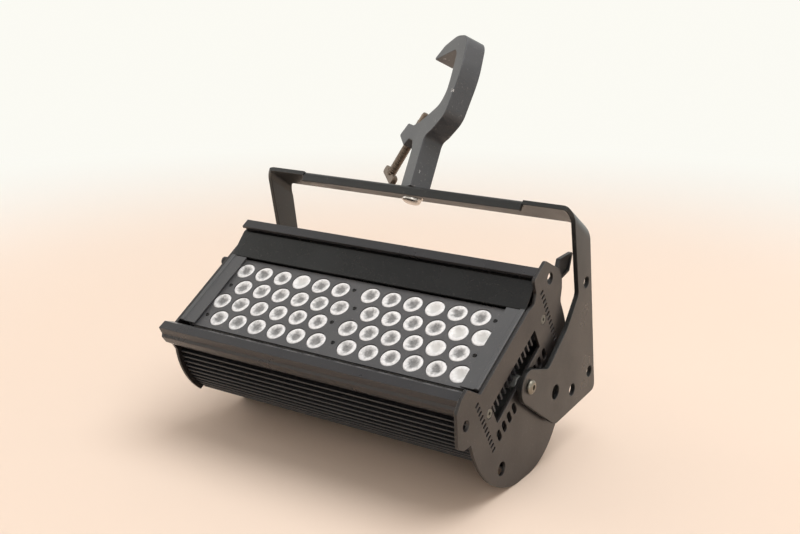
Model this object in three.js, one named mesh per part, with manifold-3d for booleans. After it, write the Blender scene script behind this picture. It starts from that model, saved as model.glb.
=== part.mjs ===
// LED batten light with a bent yoke and a hook clamp, standing on its round back with its face tipped up.
// Millimetres. The light is built in its own frame (x along the batten, y into it, z up its face),
// then turned back until the flat of its right end plate and the foot of its rear cover lie on z = 0.
import * as THREE from "three";
import { mergeVertices } from "three/addons/utils/BufferGeometryUtils.js";
import Module from "manifold-3d";

// Fits shared by all pieces
const seat = 0.3;
const runningGap = 0.3;
const overrun = 3;
const degree = Math.PI / 180;

// How the light stands: its face is turned this far from upright
const restTilt = 59.16;

// Finned extrusion: a round back about one centre, a base plate in front, mirrored about its middle
const extrusion = {
  middle: 6.4,
  arcCentre: 50,
  finTip: 75,
  finRoot: 67,
  wallInner: 63,
  finCount: 11,
  firstFin: 114.5,
  lastFin: 69.3,
  endRib: 67.2,
  finThickness: 2,
  baseFront: 14,
  baseThickness: 6,
  baseHalf: 64.9,
  baseLip: 3,
  ribCount: 15,
  ribPitch: 7,
  ribThickness: 1.6,
  ribDepth: 10,
  rearEdge: 79.5,
  portRadius: 4.5,
  portBore: 2.3,
};
const portShares = [[-0.381, 0.914], [-0.397, -0.848]];

// Lens modules, two side by side, each with staggered rows
const optics = {
  moduleGap: 0.4,
  perRow: 6,
  rows: 4,
  pitch: 23.6,
  rowPitch: 21.2,
  stagger: 5.9,
  sideRim: 1.8,
  endRim: 4.9,
  lensRadius: 9.3,
  dishRadius: 5.6,
  dishDepth: 1,
  lensRise: 1.4,
  sides: 10,
};
const mask = { margin: 1.3, thickness: 1.5 };
const board = { thickness: 1.6, ledSide: 4, ledRise: 1.2 };

// Strips round the face
const rail = { front: -18, low: -74, depth: 34.4, wall: 2.7, leg: 6.9 };
const glare = { front: -11.7, top: 73.1, foot: -3.5, wall: 1.8, ledgeRise: 2.8 };
const cheek = { width: 18.2, cover: 4.5, gap: 2.5, shelf: 7, front: -3, stripRise: 1.3, wall: 1.5 };

// End plates
const plate = { thickness: 3 };
const rightPlate = {
  arcRadius: 102,
  arcCentre: 46.5,
  arcOffset: 11.1,
  noseInset: 42,
  flatDepth: 0.7,
  ventFront: 22,
  ventRear: 44,
  ventTop: 47,
  ventBottom: -42,
  ovalBack: 57,
  ovalLength: 12,
  ovalWidth: 6,
  ovalPitch: 10.2,
  ovalCount: 4,
  slotCount: 12,
  slotPitch: 5.4,
  slotWidth: 2.5,
  slotLength: 6,
  slotFirst: 1,
  earHole: 5.5,
  latchHole: 5,
  cableHole: 6.5,
};
const leftPlate = { arcRadius: 79, startAngle: 113, endAngle: 68.7 };

// Corners of a rail's section as shares of its depth: back from its front, up from its lowest edge
const railOuterShares = [
  [0, 0.076, 0.01], [0.23, 0.067, 0.02], [0.302, 0, 0.04],
  [0.541, 0.029, 0.06], [0.866, 0.212, 0.06], [1, 0.343],
];
const railInnerShares = [[0.843, 0.302], [0.529, 0.119], [0.334, 0.09], [0.262, 0.154], [0.081, 0.163]];
const railSlopeShares = [[0.081, 0.32], [0.317, 0.517], [0.262, 0.564], [0.012, 0.352]];
const railLedgeShares = [
  [0.081, 0.227], [0.273, 0.227], [0.273, 0.302], [0.081, 0.285], [0.081, 0.378], [0, 0.378],
];
const glareHookShare = 0.8;

// Corners of the left plate as shares of its arc radius: back, down from the middle
const leftPlateShares = [[-0.051, 0.98], [0.044, 0.98], [0.149, 0.925]];

// Corners of the right plate's two ears as shares of its arc radius: back, up from the middle, rounding
const upperEarShares = [
  [0.353, 0.893, 0.09], [0.265, 0.972, 0.03], [0.196, 1.006, 0.05], [0.059, 1.006, 0.06],
  [-0.196, 0.839, 0.05], [-0.196, 0.594, 0.04], [-0.059, 0.57, 0.04], [0, 0.496, 0.03], [-0.025, 0.398],
];
const lowerEarShares = [
  [-0.025, -0.543], [-0.235, -0.671, 0.03], [-0.235, -0.778, 0.04], [-0.186, -0.886, 0.04],
  [0.098, -1.024, 0.06], [0.191, -0.955, 0.03], [0.235, -0.867, 0.01],
];
const earHoleShares = { upper: [0.01, 0.829], lower: [0.02, -0.837], cable: [0.873, -0.622] };
const upperRowShare = 0.65294;
const lowerRowShare = -0.63137;
const upperOvalShare = 0.42745;
const lowerOvalShare = -0.50392;

// Countersunk screws that hold the end plates
const plateScrew = { headRadius: 4.5, shankRadius: 2, headDepth: 2.5, length: 14 };

// Rear cover and what it holds
const cover = { wall: 1.6, footWidth: 6, lip: 10 };
const chassis = { thickness: 2, inset: 2 };
const supply = { endGap: 15.3, depth: 36, height: 50, bottom: -30, ribs: 8, ribRise: 3 };
const driver = {
  width: 116,
  height: 60,
  endGap: 7.3,
  supplyGap: 8,
  bottom: -25,
  standoff: 8,
  postRadius: 3,
  inset: 8,
};
const capacitor = { radius: 8, height: 18, pitch: 24, count: 3 };

// Control panel, on the rear cover's upper wall
const panel = { width: 112, height: 46, thickness: 2.6, cornerRadius: 4, margin: 5 };
const display = { leftGap: 8, rightGap: 7.6, height: 24, thickness: 1.5, bezel: 3 };
const button = { radius: 4, flangeRadius: 5.4, flange: 1, proud: 1.6, travel: 1, pitch: 16, edgeGap: 15 };
const control = { thickness: 1.6, gap: 6, inset: 2, postRadius: 2.2, stemRadius: 1.8 };
const socket = {
  width: 26, height: 31, flange: 2, barrelRadius: 11.5, depth: 20, cavityRadius: 9.2, cavityDepth: 15,
  cornerRadius: 3, pinRadius: 1.3, pinCircle: 5, pinLength: 7, pinAngles: [-90, 150],
  endGap: 29.2, pitch: 34,
};

// Yoke, in a frame of its own: origin on the pivot, y across the bar from front to back, z up to the bar
const yoke = {
  turn: 26.2,
  sideGap: 3,
  thickness: 4.5,
  height: 164.2,
  barFront: -15.4,
  barWidth: 32,
  bendRadius: 11,
  backTurnInset: 16.1,
  frontTurnInset: 5.2,
  slant: 0.95,
  bendSteps: 6,
  lipInset: 52,
  lipDepth: 10.4,
  lipRound: 4,
  toeRadius: 15.5,
  toeAngles: [110, 270],
  boltHole: 6.4,
};

// Corners of an arm as shares of the yoke's height: back from the pivot, up from it, rounding
const armFrontShares = [[0.282, 0.618, 0.05], [0.262, 0.402, 0.3], [0.166, 0.146, 0.05]];
const armBackShares = [[0.463, -0.104, 0.1], [0.886, 0.222, 0.045]];
const armHoleShares = [
  [0.343, 0.058, 0.043], [0.561, 0.127, 0.037], [0.734, 0.286, 0.034], [0.339, 0.711, 0.034],
];

// Pivots: a button-head bolt through each arm, a friction washer, and a nut inside the end plate
const pivot = {
  radius: 4,
  headRadius: 6.5,
  headHeight: 3.4,
  socketRadius: 2.6,
  socketDepth: 2,
  washerRadius: 11,
};
const nut = { radius: 8, height: 6.5, tail: 2 };

// Hook clamp, in a frame of its own: origin where it stands on the bar, y towards its mouth, z up
const hook = { swivel: 56.6, width: 21.8, height: 163.8, boreDepth: 24, gap: 0.4 };
const hookOuterShares = [
  [0.069, 0, 0], [0.088, 0.262, 0.1], [0.122, 0.326, 0.03], [0.187, 0.35, 0.03], [0.238, 0.313, 0.01],
  [0.349, 0.402, 0.02], [0.268, 0.471, 0.02], [0.182, 0.441, 0.05], [0.104, 0.447, 0.05],
  [0.0, 0.482, 0.05], [-0.11, 0.524, 0.1], [-0.15, 0.6, 0.15], [-0.143, 0.7, 0.3], [-0.12, 0.86, 0.08],
  [-0.09, 0.899, 0.03], [0.172, 0.894, 0.005], [0.181, 0.909, 0.01], [0.09, 0.975, 0.12],
  [-0.052, 1.007, 0.15], [-0.205, 0.97, 0.12], [-0.262, 0.72, 0.5], [-0.228, 0.434, 0.12],
  [-0.105, 0.352, 0.08], [-0.04, 0.33, 0.08], [-0.07, 0, 0],
];
const clampScrew = {
  radius: 4.8,
  length: 76,
  tipLength: 3,
  wingSpan: 36,
  wingHeight: 10,
  wingThickness: 6,
};
const screwFootShares = [0.446, 0.165];
const screwLean = 33.7;
const clampBolt = {
  radius: 6,
  washerRadius: 11,
  washerHeight: 2,
  headRadius: 9.8,
  headHeight: 6.5,
  grip: 20,
};

// Latch on the right plate's upper ear, and the thumb screw on the left plate
const latch = { thickness: 4, radius: 4.6, length: 50, pinRadius: 2.4, pinHead: 4.4, pinHeadHeight: 2 };
const latchPinShares = [0.17, 0.9];
const latchTabShares = [
  [-0.09, 0.3, 0.02], [-0.21, 0.46, 0.03], [0.06, 0.95, 0.05],
  [0.29, 0.66, 0.05], [0.2, 0.37, 0.05], [0.09, 0.26, 0.02],
];
const thumb = { back: 3, up: 41, radius: 4.6, length: 6, neckRadius: 2.4, neck: 2, shank: 8 };

// Materials, one function for each look
function look(color, roughness, metalness) {
  return new THREE.MeshStandardMaterial({ color, roughness, metalness });
}
const blackAluminium = look(0x141517, 0.45, 0.6);
const brownPaint = look(0x3a322d, 0.45, 0.5);
const maskBlack = look(0x17181a, 0.7, 0);
const cheekGrey = look(0x33363a, 0.4, 0.4);
const lensClear = look(0xe8ecf0, 0.15, 0);
const bareSteel = look(0xb8b5ae, 0.3, 0.9);
const darkSteel = look(0x3b2e25, 0.4, 0.8);
const clampGrey = look(0x3c3c3e, 0.45, 0.5);
const blackPlastic = look(0x101010, 0.5, 0);
const boardWhite = look(0xd8dad6, 0.5, 0);
const boardGreen = look(0x1f5a37, 0.5, 0);
const zincPlate = look(0x9a9c9e, 0.35, 0.9);
const darkGlass = look(0x0a1014, 0.08, 0);
const buttonGrey = look(0x4a4d50, 0.6, 0);

// Solid modelling: closed geometries go in, are joined and cut, and come out as geometries
const wasm = await Module();
wasm.setup();

function solidOf(geometry) {
  const bare = geometry.clone();
  bare.deleteAttribute("normal");
  bare.deleteAttribute("uv");
  const merged = mergeVertices(bare);
  const corners = merged.index.array;
  const kept = [];
  for (let i = 0; i < corners.length; i += 3) {
    const [a, b, c] = [corners[i], corners[i + 1], corners[i + 2]];
    if (a !== b && b !== c && c !== a) kept.push(a, b, c);
  }
  const build = (triangles) => new wasm.Manifold(new wasm.Mesh({
    numProp: 3,
    vertProperties: merged.attributes.position.array,
    triVerts: new Uint32Array(triangles),
  }));
  const made = build(kept);
  return made.volume() < 0 ? build(kept.reverse()) : made;
}

function meshOf(name, solid, material) {
  const { vertProperties, triVerts } = solid.getMesh();
  const geometry = new THREE.BufferGeometry();
  geometry.setAttribute("position", new THREE.BufferAttribute(vertProperties, 3));
  geometry.setIndex(new THREE.BufferAttribute(triVerts, 1));
  geometry.computeVertexNormals();
  const mesh = new THREE.Mesh(geometry, material);
  mesh.name = name;
  return mesh;
}

// A closed outline through corners [u, v, rounding]
function outline(corners) {
  const shape = new THREE.Shape();
  const count = corners.length;
  const point = (i) => new THREE.Vector2(corners[(i + count) % count][0], corners[(i + count) % count][1]);
  for (let i = 0; i < count; i += 1) {
    const here = point(i);
    const toBefore = point(i - 1).sub(here);
    const toAfter = point(i + 1).sub(here);
    const radius = corners[i][2] ?? 0;
    const halfAngle = Math.acos(THREE.MathUtils.clamp(toBefore.dot(toAfter)
      / (toBefore.length() * toAfter.length()), -1, 1)) / 2;
    const reach = Math.min(radius / Math.tan(halfAngle), toBefore.length() / 2, toAfter.length() / 2);
    const start = here.clone().addScaledVector(toBefore.normalize(), reach);
    const end = here.clone().addScaledVector(toAfter.normalize(), reach);
    if (i === 0) shape.moveTo(start.x, start.y);
    else shape.lineTo(start.x, start.y);
    if (radius > 0) shape.quadraticCurveTo(here.x, here.y, end.x, end.y);
  }
  shape.closePath();
  return shape;
}

function rectangle(left, right, bottom, top, radius = 0) {
  return outline([
    [left, bottom, radius],
    [right, bottom, radius],
    [right, top, radius],
    [left, top, radius],
  ]);
}

function arc(centre, radius, from, to, steps) {
  return Array.from({ length: steps + 1 }, (_, i) => {
    const angle = (from + (to - from) * i / steps) * degree;
    return [centre[0] + radius * Math.cos(angle), centre[1] + radius * Math.sin(angle)];
  });
}

function disc(u, v, radius, sides = 12) {
  return outline(arc([u, v], radius, 0, 360, sides).slice(0, sides));
}

// A rounded slot about (u, v), with its long side along u or along v
function slot(u, v, alongU, alongV) {
  const radius = Math.min(alongU, alongV) / 2;
  return rectangle(u - alongU / 2, u + alongU / 2, v - alongV / 2, v + alongV / 2, radius);
}

function extruded(shape, depth, roundSteps) {
  return new THREE.ExtrudeGeometry(shape, { depth, bevelEnabled: false, curveSegments: roundSteps });
}

const axisX = new THREE.Vector3(1, 0, 0);
const axisY = new THREE.Vector3(0, 1, 0);
const axisZ = new THREE.Vector3(0, 0, 1);

// An outline in (y, z), drawn out along x
function alongX(shape, from, to, roundSteps = 4) {
  const geometry = extruded(shape, to - from, roundSteps);
  geometry.applyMatrix4(new THREE.Matrix4().makeBasis(axisY, axisZ, axisX));
  return solidOf(geometry.translate(from, 0, 0));
}

// An outline in (x, z), drawn out along y
function alongY(shape, from, to, roundSteps = 4) {
  const geometry = extruded(shape, to - from, roundSteps);
  geometry.rotateX(90 * degree);
  return solidOf(geometry.translate(0, to, 0));
}

// An outline in (x, y), drawn out along z
function alongZ(shape, from, to, roundSteps = 4) {
  return solidOf(extruded(shape, to - from, roundSteps).translate(0, 0, from));
}

function block(x, y, z) {
  const geometry = new THREE.BoxGeometry(x[1] - x[0], y[1] - y[0], z[1] - z[0]);
  return solidOf(geometry.translate((x[0] + x[1]) / 2, (y[0] + y[1]) / 2, (z[0] + z[1]) / 2));
}

// A turned piece, from a profile of [radius, height] that starts and ends on the axis
function turned(profile, direction = axisZ, place = [0, 0, 0], sides = 12) {
  const points = profile.map(([radius, height]) => new THREE.Vector2(radius, height));
  const turn = new THREE.Quaternion().setFromUnitVectors(axisY, direction);
  return solidOf(new THREE.LatheGeometry(points, sides).applyQuaternion(turn).translate(...place));
}

function rod(radius, from, to, direction = axisZ, place = [0, 0, 0], sides = 12) {
  return turned([[0, from], [radius, from], [radius, to], [0, to]], direction, place, sides);
}

function joined(solids) {
  return solids.reduce((sum, next) => sum.add(next));
}

function cutBy(solid, cutters) {
  return cutters.length ? solid.subtract(joined(cutters)) : solid;
}

// Places that several pieces share
const outerLens = optics.stagger + optics.lensRadius;
const moduleLength = (optics.perRow - 1) * optics.pitch + 2 * (outerLens + optics.sideRim);
const moduleHeight = (optics.rows - 1) * optics.rowPitch + 2 * (optics.lensRadius + optics.endRim);
const modulePitch = moduleLength + optics.moduleGap;
const maskHalf = (modulePitch + moduleLength) / 2 + mask.margin;
const cheekInner = maskHalf - cheek.cover;
const bodyHalf = cheekInner + cheek.width;
const plateInner = bodyHalf + seat;
const plateOuter = plateInner + plate.thickness;
const armInner = plateOuter + yoke.sideGap;
const armOuter = armInner + yoke.thickness;
const centre = [extrusion.arcCentre, extrusion.middle];
const lowerEdge = extrusion.middle - extrusion.baseHalf;
const baseSeat = extrusion.baseFront - seat;
const portPlaces = portShares.map(([back, up]) => [
  centre[0] + back * extrusion.wallInner,
  centre[1] + up * extrusion.wallInner,
]);
const boardFront = baseSeat - board.thickness;
const opticsBack = boardFront - board.ledRise - seat;
const opticsFront = mask.thickness + seat;
const lensHole = (optics.lensRadius + seat) / Math.cos(Math.PI / optics.sides);
const chassisFront = extrusion.rearEdge + seat;
const coverFront = chassisFront + chassis.thickness + seat;

// The floor in the light's own frame: the way down, and how far the part reaches that way
const down = [Math.sin(restTilt * degree), -Math.cos(restTilt * degree)];
const plateArcLow = [rightPlate.arcCentre, extrusion.middle + rightPlate.arcOffset];
const reachOf = ([back, up]) => back * down[0] + up * down[1];
const floorReach = reachOf(plateArcLow) + rightPlate.arcRadius - rightPlate.flatDepth;

// A place in the light's own frame, seen in the standing frame
function standing([back, up]) {
  return [back * -down[1] + up * down[0], up * -down[1] - back * down[0]];
}

function mirrored(points) {
  return points.map(([back, up, ...rest]) => [back, 2 * extrusion.middle - up, ...rest]).reverse();
}

// Finned body: one extrusion, with cooling fins on its round back and ribs behind its base plate
function extrusionSection() {
  const e = extrusion;
  const at = (radius, angle) => arc(centre, radius, angle, angle, 1)[0];
  const rootHalf = e.finThickness / 2 / e.finRoot / degree;
  const tipHalf = e.finThickness / 2 / e.finTip / degree;
  const outside = [[e.baseFront, lowerEdge], [e.baseFront + e.baseLip, lowerEdge]];
  for (let i = 0; i < e.finCount; i += 1) {
    const angle = -e.firstFin + (e.firstFin - e.lastFin) * i / (e.finCount - 1);
    outside.push(at(e.finRoot, angle - rootHalf), at(e.finTip, angle - tipHalf));
    outside.push(at(e.finTip, angle + tipHalf), at(e.finRoot, angle + rootHalf));
  }
  const ribTip = at(e.finTip, -e.endRib);
  outside.push(at(e.finRoot, -e.endRib), ribTip, [e.rearEdge, ribTip[1]]);
  const baseBack = e.baseFront + e.baseThickness;
  const wallAngle = (back) => -Math.acos((back - centre[0]) / e.wallInner) / degree;
  const inside = arc(centre, e.wallInner, wallAngle(e.rearEdge), wallAngle(baseBack), 8);
  const ribs = [];
  for (let i = 0; i < e.ribCount; i += 1) {
    const up = e.middle + (i - (e.ribCount - 1) / 2) * e.ribPitch;
    ribs.push([baseBack, up - e.ribThickness / 2], [baseBack + e.ribDepth, up - e.ribThickness / 2]);
    ribs.push([baseBack + e.ribDepth, up + e.ribThickness / 2], [baseBack, up + e.ribThickness / 2]);
  }
  return [...outside, ...inside, ...ribs, ...mirrored([...outside, ...inside])];
}

function heatsinkBody() {
  const section = alongX(outline(extrusionSection()), -bodyHalf, bodyHalf);
  const past = bodyHalf + overrun;
  const port = ([back, up]) => alongX(disc(back, up, extrusion.portRadius), -bodyHalf, bodyHalf);
  const bore = ([back, up]) => alongX(disc(back, up, extrusion.portBore), -past, past);
  return cutBy(joined([section, ...portPlaces.map(port)]), portPlaces.map(bore));
}

// Rails along the face's top and bottom: bent fronts, hooked under the edges of the base plate
function railPoints(shares) {
  return shares.map(([back, up, round = 0]) => [
    rail.front + back * rail.depth,
    rail.low + up * rail.depth,
    round * rail.depth,
  ]);
}

function railSection(frontShares) {
  const hook = [
    [rail.front + rail.depth, lowerEdge - seat],
    [baseSeat, lowerEdge - seat],
    [baseSeat, lowerEdge + rail.leg],
    [baseSeat - rail.wall, lowerEdge + rail.leg],
  ];
  const outside = railPoints(railOuterShares);
  return [...outside, ...hook, ...railPoints(railInnerShares), ...railPoints(frontShares)];
}

function topRail() {
  return alongX(outline(mirrored(railSection(railLedgeShares))), -bodyHalf, bodyHalf, 3);
}

function bottomRail() {
  return alongX(outline(railSection(railSlopeShares)), -bodyHalf, bodyHalf, 3);
}

// Slanted panel between the top rail and the lenses, with a ledge that goes back to the base plate
function glarePanel() {
  const { front, top, foot, wall, ledgeRise } = glare;
  const footHeight = moduleHeight / 2 + 2 * seat;
  const ledge = footHeight + ledgeRise;
  const rear = (up) => foot + (front - foot) * (up - footHeight) / (top - footHeight) + wall;
  const ledgeTop = ledge + wall;
  const hookTop = mirrored(railPoints([railLedgeShares[2]]))[0][1] - seat;
  const hookFront = rear(top) - wall * glareHookShare;
  return alongX(outline([
    [front, top], [foot, footHeight], [rear(footHeight), footHeight], [rear(ledge), ledge],
    [baseSeat, ledge], [baseSeat, ledgeTop], [rear(ledgeTop), ledgeTop], [rear(top), top],
    [rear(top), hookTop], [hookFront, hookTop], [hookFront, top],
  ]), -bodyHalf, bodyHalf);
}

// Grey cheeks that cover the ends of the mask: a face, a raised outer strip and a leg to the base plate
function cheekPanel(side) {
  const { gap, shelf, front, stripRise, wall } = cheek;
  const inner = cheekInner;
  const leg = maskHalf + gap;
  const strip = leg + shelf;
  const corners = [
    [inner, front + wall], [inner, front], [strip, front], [strip, front - stripRise],
    [bodyHalf, front - stripRise], [bodyHalf, front + wall], [leg + wall, front + wall],
    [leg + wall, baseSeat], [leg, baseSeat], [leg, front + wall],
  ];
  const section = outline(corners.map(([x, y]) => [x * side, y]));
  return alongZ(section, -moduleHeight / 2, moduleHeight / 2 + seat);
}

// Centres of the lenses of one module
function lensCentres(side) {
  const places = [];
  for (let row = 0; row < optics.rows; row += 1) {
    const shift = row % 2 === 0 ? -optics.stagger : optics.stagger;
    const up = ((optics.rows - 1) / 2 - row) * optics.rowPitch;
    for (let i = 0; i < optics.perRow; i += 1) {
      const along = (i - (optics.perRow - 1) / 2) * optics.pitch + shift;
      places.push([side * modulePitch / 2 + along, up]);
    }
  }
  return places;
}

function lensMask() {
  const sheet = rectangle(-maskHalf, maskHalf, -moduleHeight / 2, moduleHeight / 2);
  for (const side of [-1, 1]) {
    sheet.holes.push(...lensCentres(side).map(([x, z]) => disc(x, z, lensHole, optics.sides)));
  }
  return alongY(sheet, 0, mask.thickness);
}

// One clear block of moulded lenses: flat rims round shallow dishes that stand in the mask's holes
function lensBlock(side) {
  const middle = side * modulePitch / 2;
  const x = [middle - moduleLength / 2, middle + moduleLength / 2];
  const slab = block(x, [opticsFront, opticsBack], [-moduleHeight / 2, moduleHeight / 2]);
  const profile = [
    [0, -optics.lensRise], [optics.lensRadius, -optics.lensRise],
    [optics.lensRadius, optics.lensRise], [optics.dishRadius, optics.lensRise],
    [0, optics.lensRise - optics.dishDepth],
  ];
  const forward = axisY.clone().negate();
  const lens = ([along, up]) => turned(profile, forward, [along, opticsFront, up], optics.sides);
  return joined([slab, ...lensCentres(side).map(lens)]);
}

// Circuit board with a square emitter behind each lens
function ledBoard(side) {
  const middle = side * modulePitch / 2;
  const x = [middle - moduleLength / 2, middle + moduleLength / 2];
  const sheet = block(x, [boardFront, baseSeat], [-moduleHeight / 2, moduleHeight / 2]);
  const half = board.ledSide / 2;
  const emitter = ([along, up]) => block([along - half, along + half],
    [boardFront - board.ledRise, boardFront + board.thickness / 2], [up - half, up + half]);
  return joined([sheet, ...lensCentres(side).map(emitter)]);
}

// Countersunk screw along x and the matching recess
function countersunk(outward, [back, up], grow = 0) {
  const { headRadius, shankRadius, headDepth, length } = plateScrew;
  const profile = [
    [0, -length - grow], [shankRadius + grow, -length - grow], [shankRadius + grow, -headDepth],
    [headRadius + grow, 0], [headRadius + grow, grow], [0, grow],
  ];
  return turned(profile, axisX.clone().multiplyScalar(outward), [outward * plateOuter, back, up]);
}

// Right end plate: two ears in front, a round back with a flat to stand on, vents and holes
function rightPlateOutline() {
  const { arcRadius, arcCentre, arcOffset, noseInset, flatDepth } = rightPlate;
  const noseRadius = arcRadius - noseInset;
  const tangent = Math.asin(arcOffset / noseInset) / degree;
  const noseCentre = [arcCentre + noseInset * Math.cos(tangent * degree), extrusion.middle];
  const ear = (shares) => shares.map(([back, up, round = 0]) => [
    back * arcRadius, extrusion.middle + up * arcRadius, round * arcRadius,
  ]);
  const lower = ear(lowerEarShares);
  const lastEar = lower[lower.length - 1];
  const arcStart = Math.atan2(lastEar[1] - plateArcLow[1], lastEar[0] - plateArcLow[0]) / degree;
  const flatHalf = Math.acos(1 - flatDepth / arcRadius) / degree;
  const flatMiddle = restTilt - 90;
  const upper = ear(upperEarShares);
  const plateArcHigh = [plateArcLow[0], extrusion.middle - arcOffset];
  const arcEnd = Math.acos((upper[0][0] - plateArcHigh[0]) / arcRadius) / degree;
  return [
    ...lower,
    ...arc(plateArcLow, arcRadius, arcStart, flatMiddle - flatHalf, 11).slice(1),
    ...arc(plateArcLow, arcRadius, flatMiddle + flatHalf, -tangent, 2),
    ...arc(noseCentre, noseRadius, -tangent, tangent, 5).slice(1),
    ...arc(plateArcHigh, arcRadius, tangent, arcEnd - flatHalf, 12).slice(1),
    ...upper,
  ];
}

function row(count, place) {
  return Array.from({ length: count }, (_, i) => place(i));
}

function rightEndPlate() {
  const r = rightPlate;
  const shape = outline(rightPlateOutline());
  const earPlace = ([back, up]) => [back * r.arcRadius, extrusion.middle + up * r.arcRadius];
  const upAt = (share) => extrusion.middle + share * r.arcRadius;
  const upperRow = upAt(upperRowShare);
  const lowerRow = upAt(lowerRowShare);
  const upperOval = upAt(upperOvalShare);
  const lowerOval = upAt(lowerOvalShare);
  shape.holes.push(
    rectangle(r.ventFront, r.ventRear, r.ventBottom, r.ventTop),
    ...row(r.ovalCount, (i) => slot(r.ovalBack, upperOval - i * r.ovalPitch, r.ovalLength, r.ovalWidth)),
    ...row(r.ovalCount, (i) => slot(r.ovalBack, lowerOval + i * r.ovalPitch, r.ovalLength, r.ovalWidth)),
    ...row(r.slotCount, (i) => slot(r.slotFirst + i * r.slotPitch, upperRow, r.slotWidth, r.slotLength)),
    ...row(r.slotCount, (i) => slot(r.slotFirst + i * r.slotPitch, lowerRow, r.slotWidth, r.slotLength)),
    disc(...earPlace(earHoleShares.upper), r.earHole),
    disc(...earPlace(earHoleShares.lower), r.latchHole),
    disc(...earPlace(earHoleShares.cable), r.cableHole),
    disc(...centre, pivot.radius + runningGap),
  );
  const screws = portPlaces.map((place) => countersunk(1, place, seat));
  return cutBy(alongX(shape, plateInner, plateOuter, 1), screws);
}

// Left end plate: follows the fins, with a straight rear edge
function leftEndPlate() {
  const radius = leftPlate.arcRadius;
  const front = leftPlateShares.map(([back, fall]) => [back * radius, extrusion.middle - fall * radius]);
  const lower = [...front, ...arc(centre, radius, -leftPlate.startAngle, -leftPlate.endAngle, 8)];
  const shape = outline([...lower, ...mirrored(lower)]);
  shape.holes.push(
    disc(...centre, pivot.radius + runningGap),
    disc(thumb.back, thumb.up, thumb.neckRadius + seat),
  );
  const screws = portPlaces.map((place) => countersunk(-1, place, seat));
  return cutBy(alongX(shape, -plateOuter, -plateInner), screws);
}

// Rear cover, built in the standing frame: its foot lies on the floor and its upper wall stands upright
const coverSlope = [down[0], -down[1]];
const ribTipUp = extrusion.middle - extrusion.finTip * Math.sin(extrusion.endRib * degree);
const coverCorner = [
  coverFront,
  ribTipUp + (coverFront - extrusion.rearEdge) * coverSlope[1] / coverSlope[0],
];
const coverRun = (floorReach - reachOf(coverCorner)) / reachOf(coverSlope);
const coverHeel = [coverCorner[0] + coverRun * coverSlope[0], coverCorner[1] + coverRun * coverSlope[1]];
const coverToe = [coverHeel[0] - cover.footWidth * down[1], coverHeel[1] + cover.footWidth * down[0]];
const coverOutside = [coverCorner, coverHeel, coverToe, ...mirrored([coverCorner, coverHeel, coverToe])];
const [wallBack, wallTop] = standing(coverOutside[5]);
const wallFoot = standing(coverOutside[4])[1];
const wallMiddle = (wallTop + wallFoot) / 2;
const outerSocket = bodyHalf - socket.endGap;
const innerSocket = outerSocket - socket.pitch;
const socketPlaces = [
  ["power_inlet", -outerSocket],
  ["power_outlet", -innerSocket],
  ["data_in", innerSocket],
  ["data_out", outerSocket],
];

// The same outline with every side moved inwards
function inset(points, distance) {
  const count = points.length;
  return points.map((here, i) => {
    const before = points[(i + count - 1) % count];
    const after = points[(i + 1) % count];
    const normal = ([u0, v0], [u1, v1]) => {
      const length = Math.hypot(u1 - u0, v1 - v0);
      return [(v0 - v1) / length, (u1 - u0) / length];
    };
    const [a, b] = [normal(before, here), normal(here, after)];
    const spread = 1 + a[0] * b[0] + a[1] * b[1];
    return [here[0] + distance * (a[0] + b[0]) / spread, here[1] + distance * (a[1] + b[1]) / spread];
  });
}

function rearCover() {
  const inside = inset(coverOutside, cover.wall);
  const low = coverCorner[1] + cover.lip;
  const high = 2 * extrusion.middle - low;
  const lipBack = coverFront + cover.wall;
  const section = [
    ...coverOutside, [coverFront, high], [lipBack, high],
    ...inside.reverse(), [lipBack, low], [coverFront, low],
  ];
  const shell = alongX(outline(section.map(standing)), -bodyHalf + cover.wall + seat, bodyHalf);
  const through = [wallBack - cover.wall - overrun, wallBack + overrun];
  const halfWidth = panel.width / 2 - panel.margin;
  const halfHeight = panel.height / 2 - panel.margin;
  const window = block([-halfWidth, halfWidth], through, [wallMiddle - halfHeight, wallMiddle + halfHeight]);
  const hole = (x) => rod(socket.barrelRadius + seat, ...through, axisY, [x, 0, wallMiddle], 16);
  const holes = socketPlaces.map(([, x]) => hole(x));
  return cutBy(shell, [window, ...holes]);
}

function leftEndCap() {
  return alongX(outline(coverOutside.map(standing)), -bodyHalf, -bodyHalf + cover.wall);
}

// Plate between the fins' duct and the electronics, with the power supply and the driver board on it
const chassisBack = chassisFront + chassis.thickness;
const chassisHalf = bodyHalf - cover.wall - seat;
const electronicsFront = chassisBack + seat;
const driverLeft = driver.endGap - chassisHalf;

function chassisPlate() {
  const low = ribTipUp + chassis.inset;
  return block([-chassisHalf, chassisHalf], [chassisFront, chassisBack], [low, 2 * extrusion.middle - low]);
}

function powerSupply() {
  const { endGap, depth, height, bottom, ribs, ribRise } = supply;
  const back = electronicsFront + depth;
  const along = [driverLeft + driver.width + driver.supplyGap, chassisHalf - endGap];
  const box = block(along, [electronicsFront, back], [bottom, bottom + height]);
  const pitch = height / ribs;
  const ridge = (i) => block(along, [back - ribRise, back + ribRise],
    [bottom + i * pitch, bottom + i * pitch + pitch / 2]);
  return joined([box, ...row(ribs, ridge)]);
}

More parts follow.
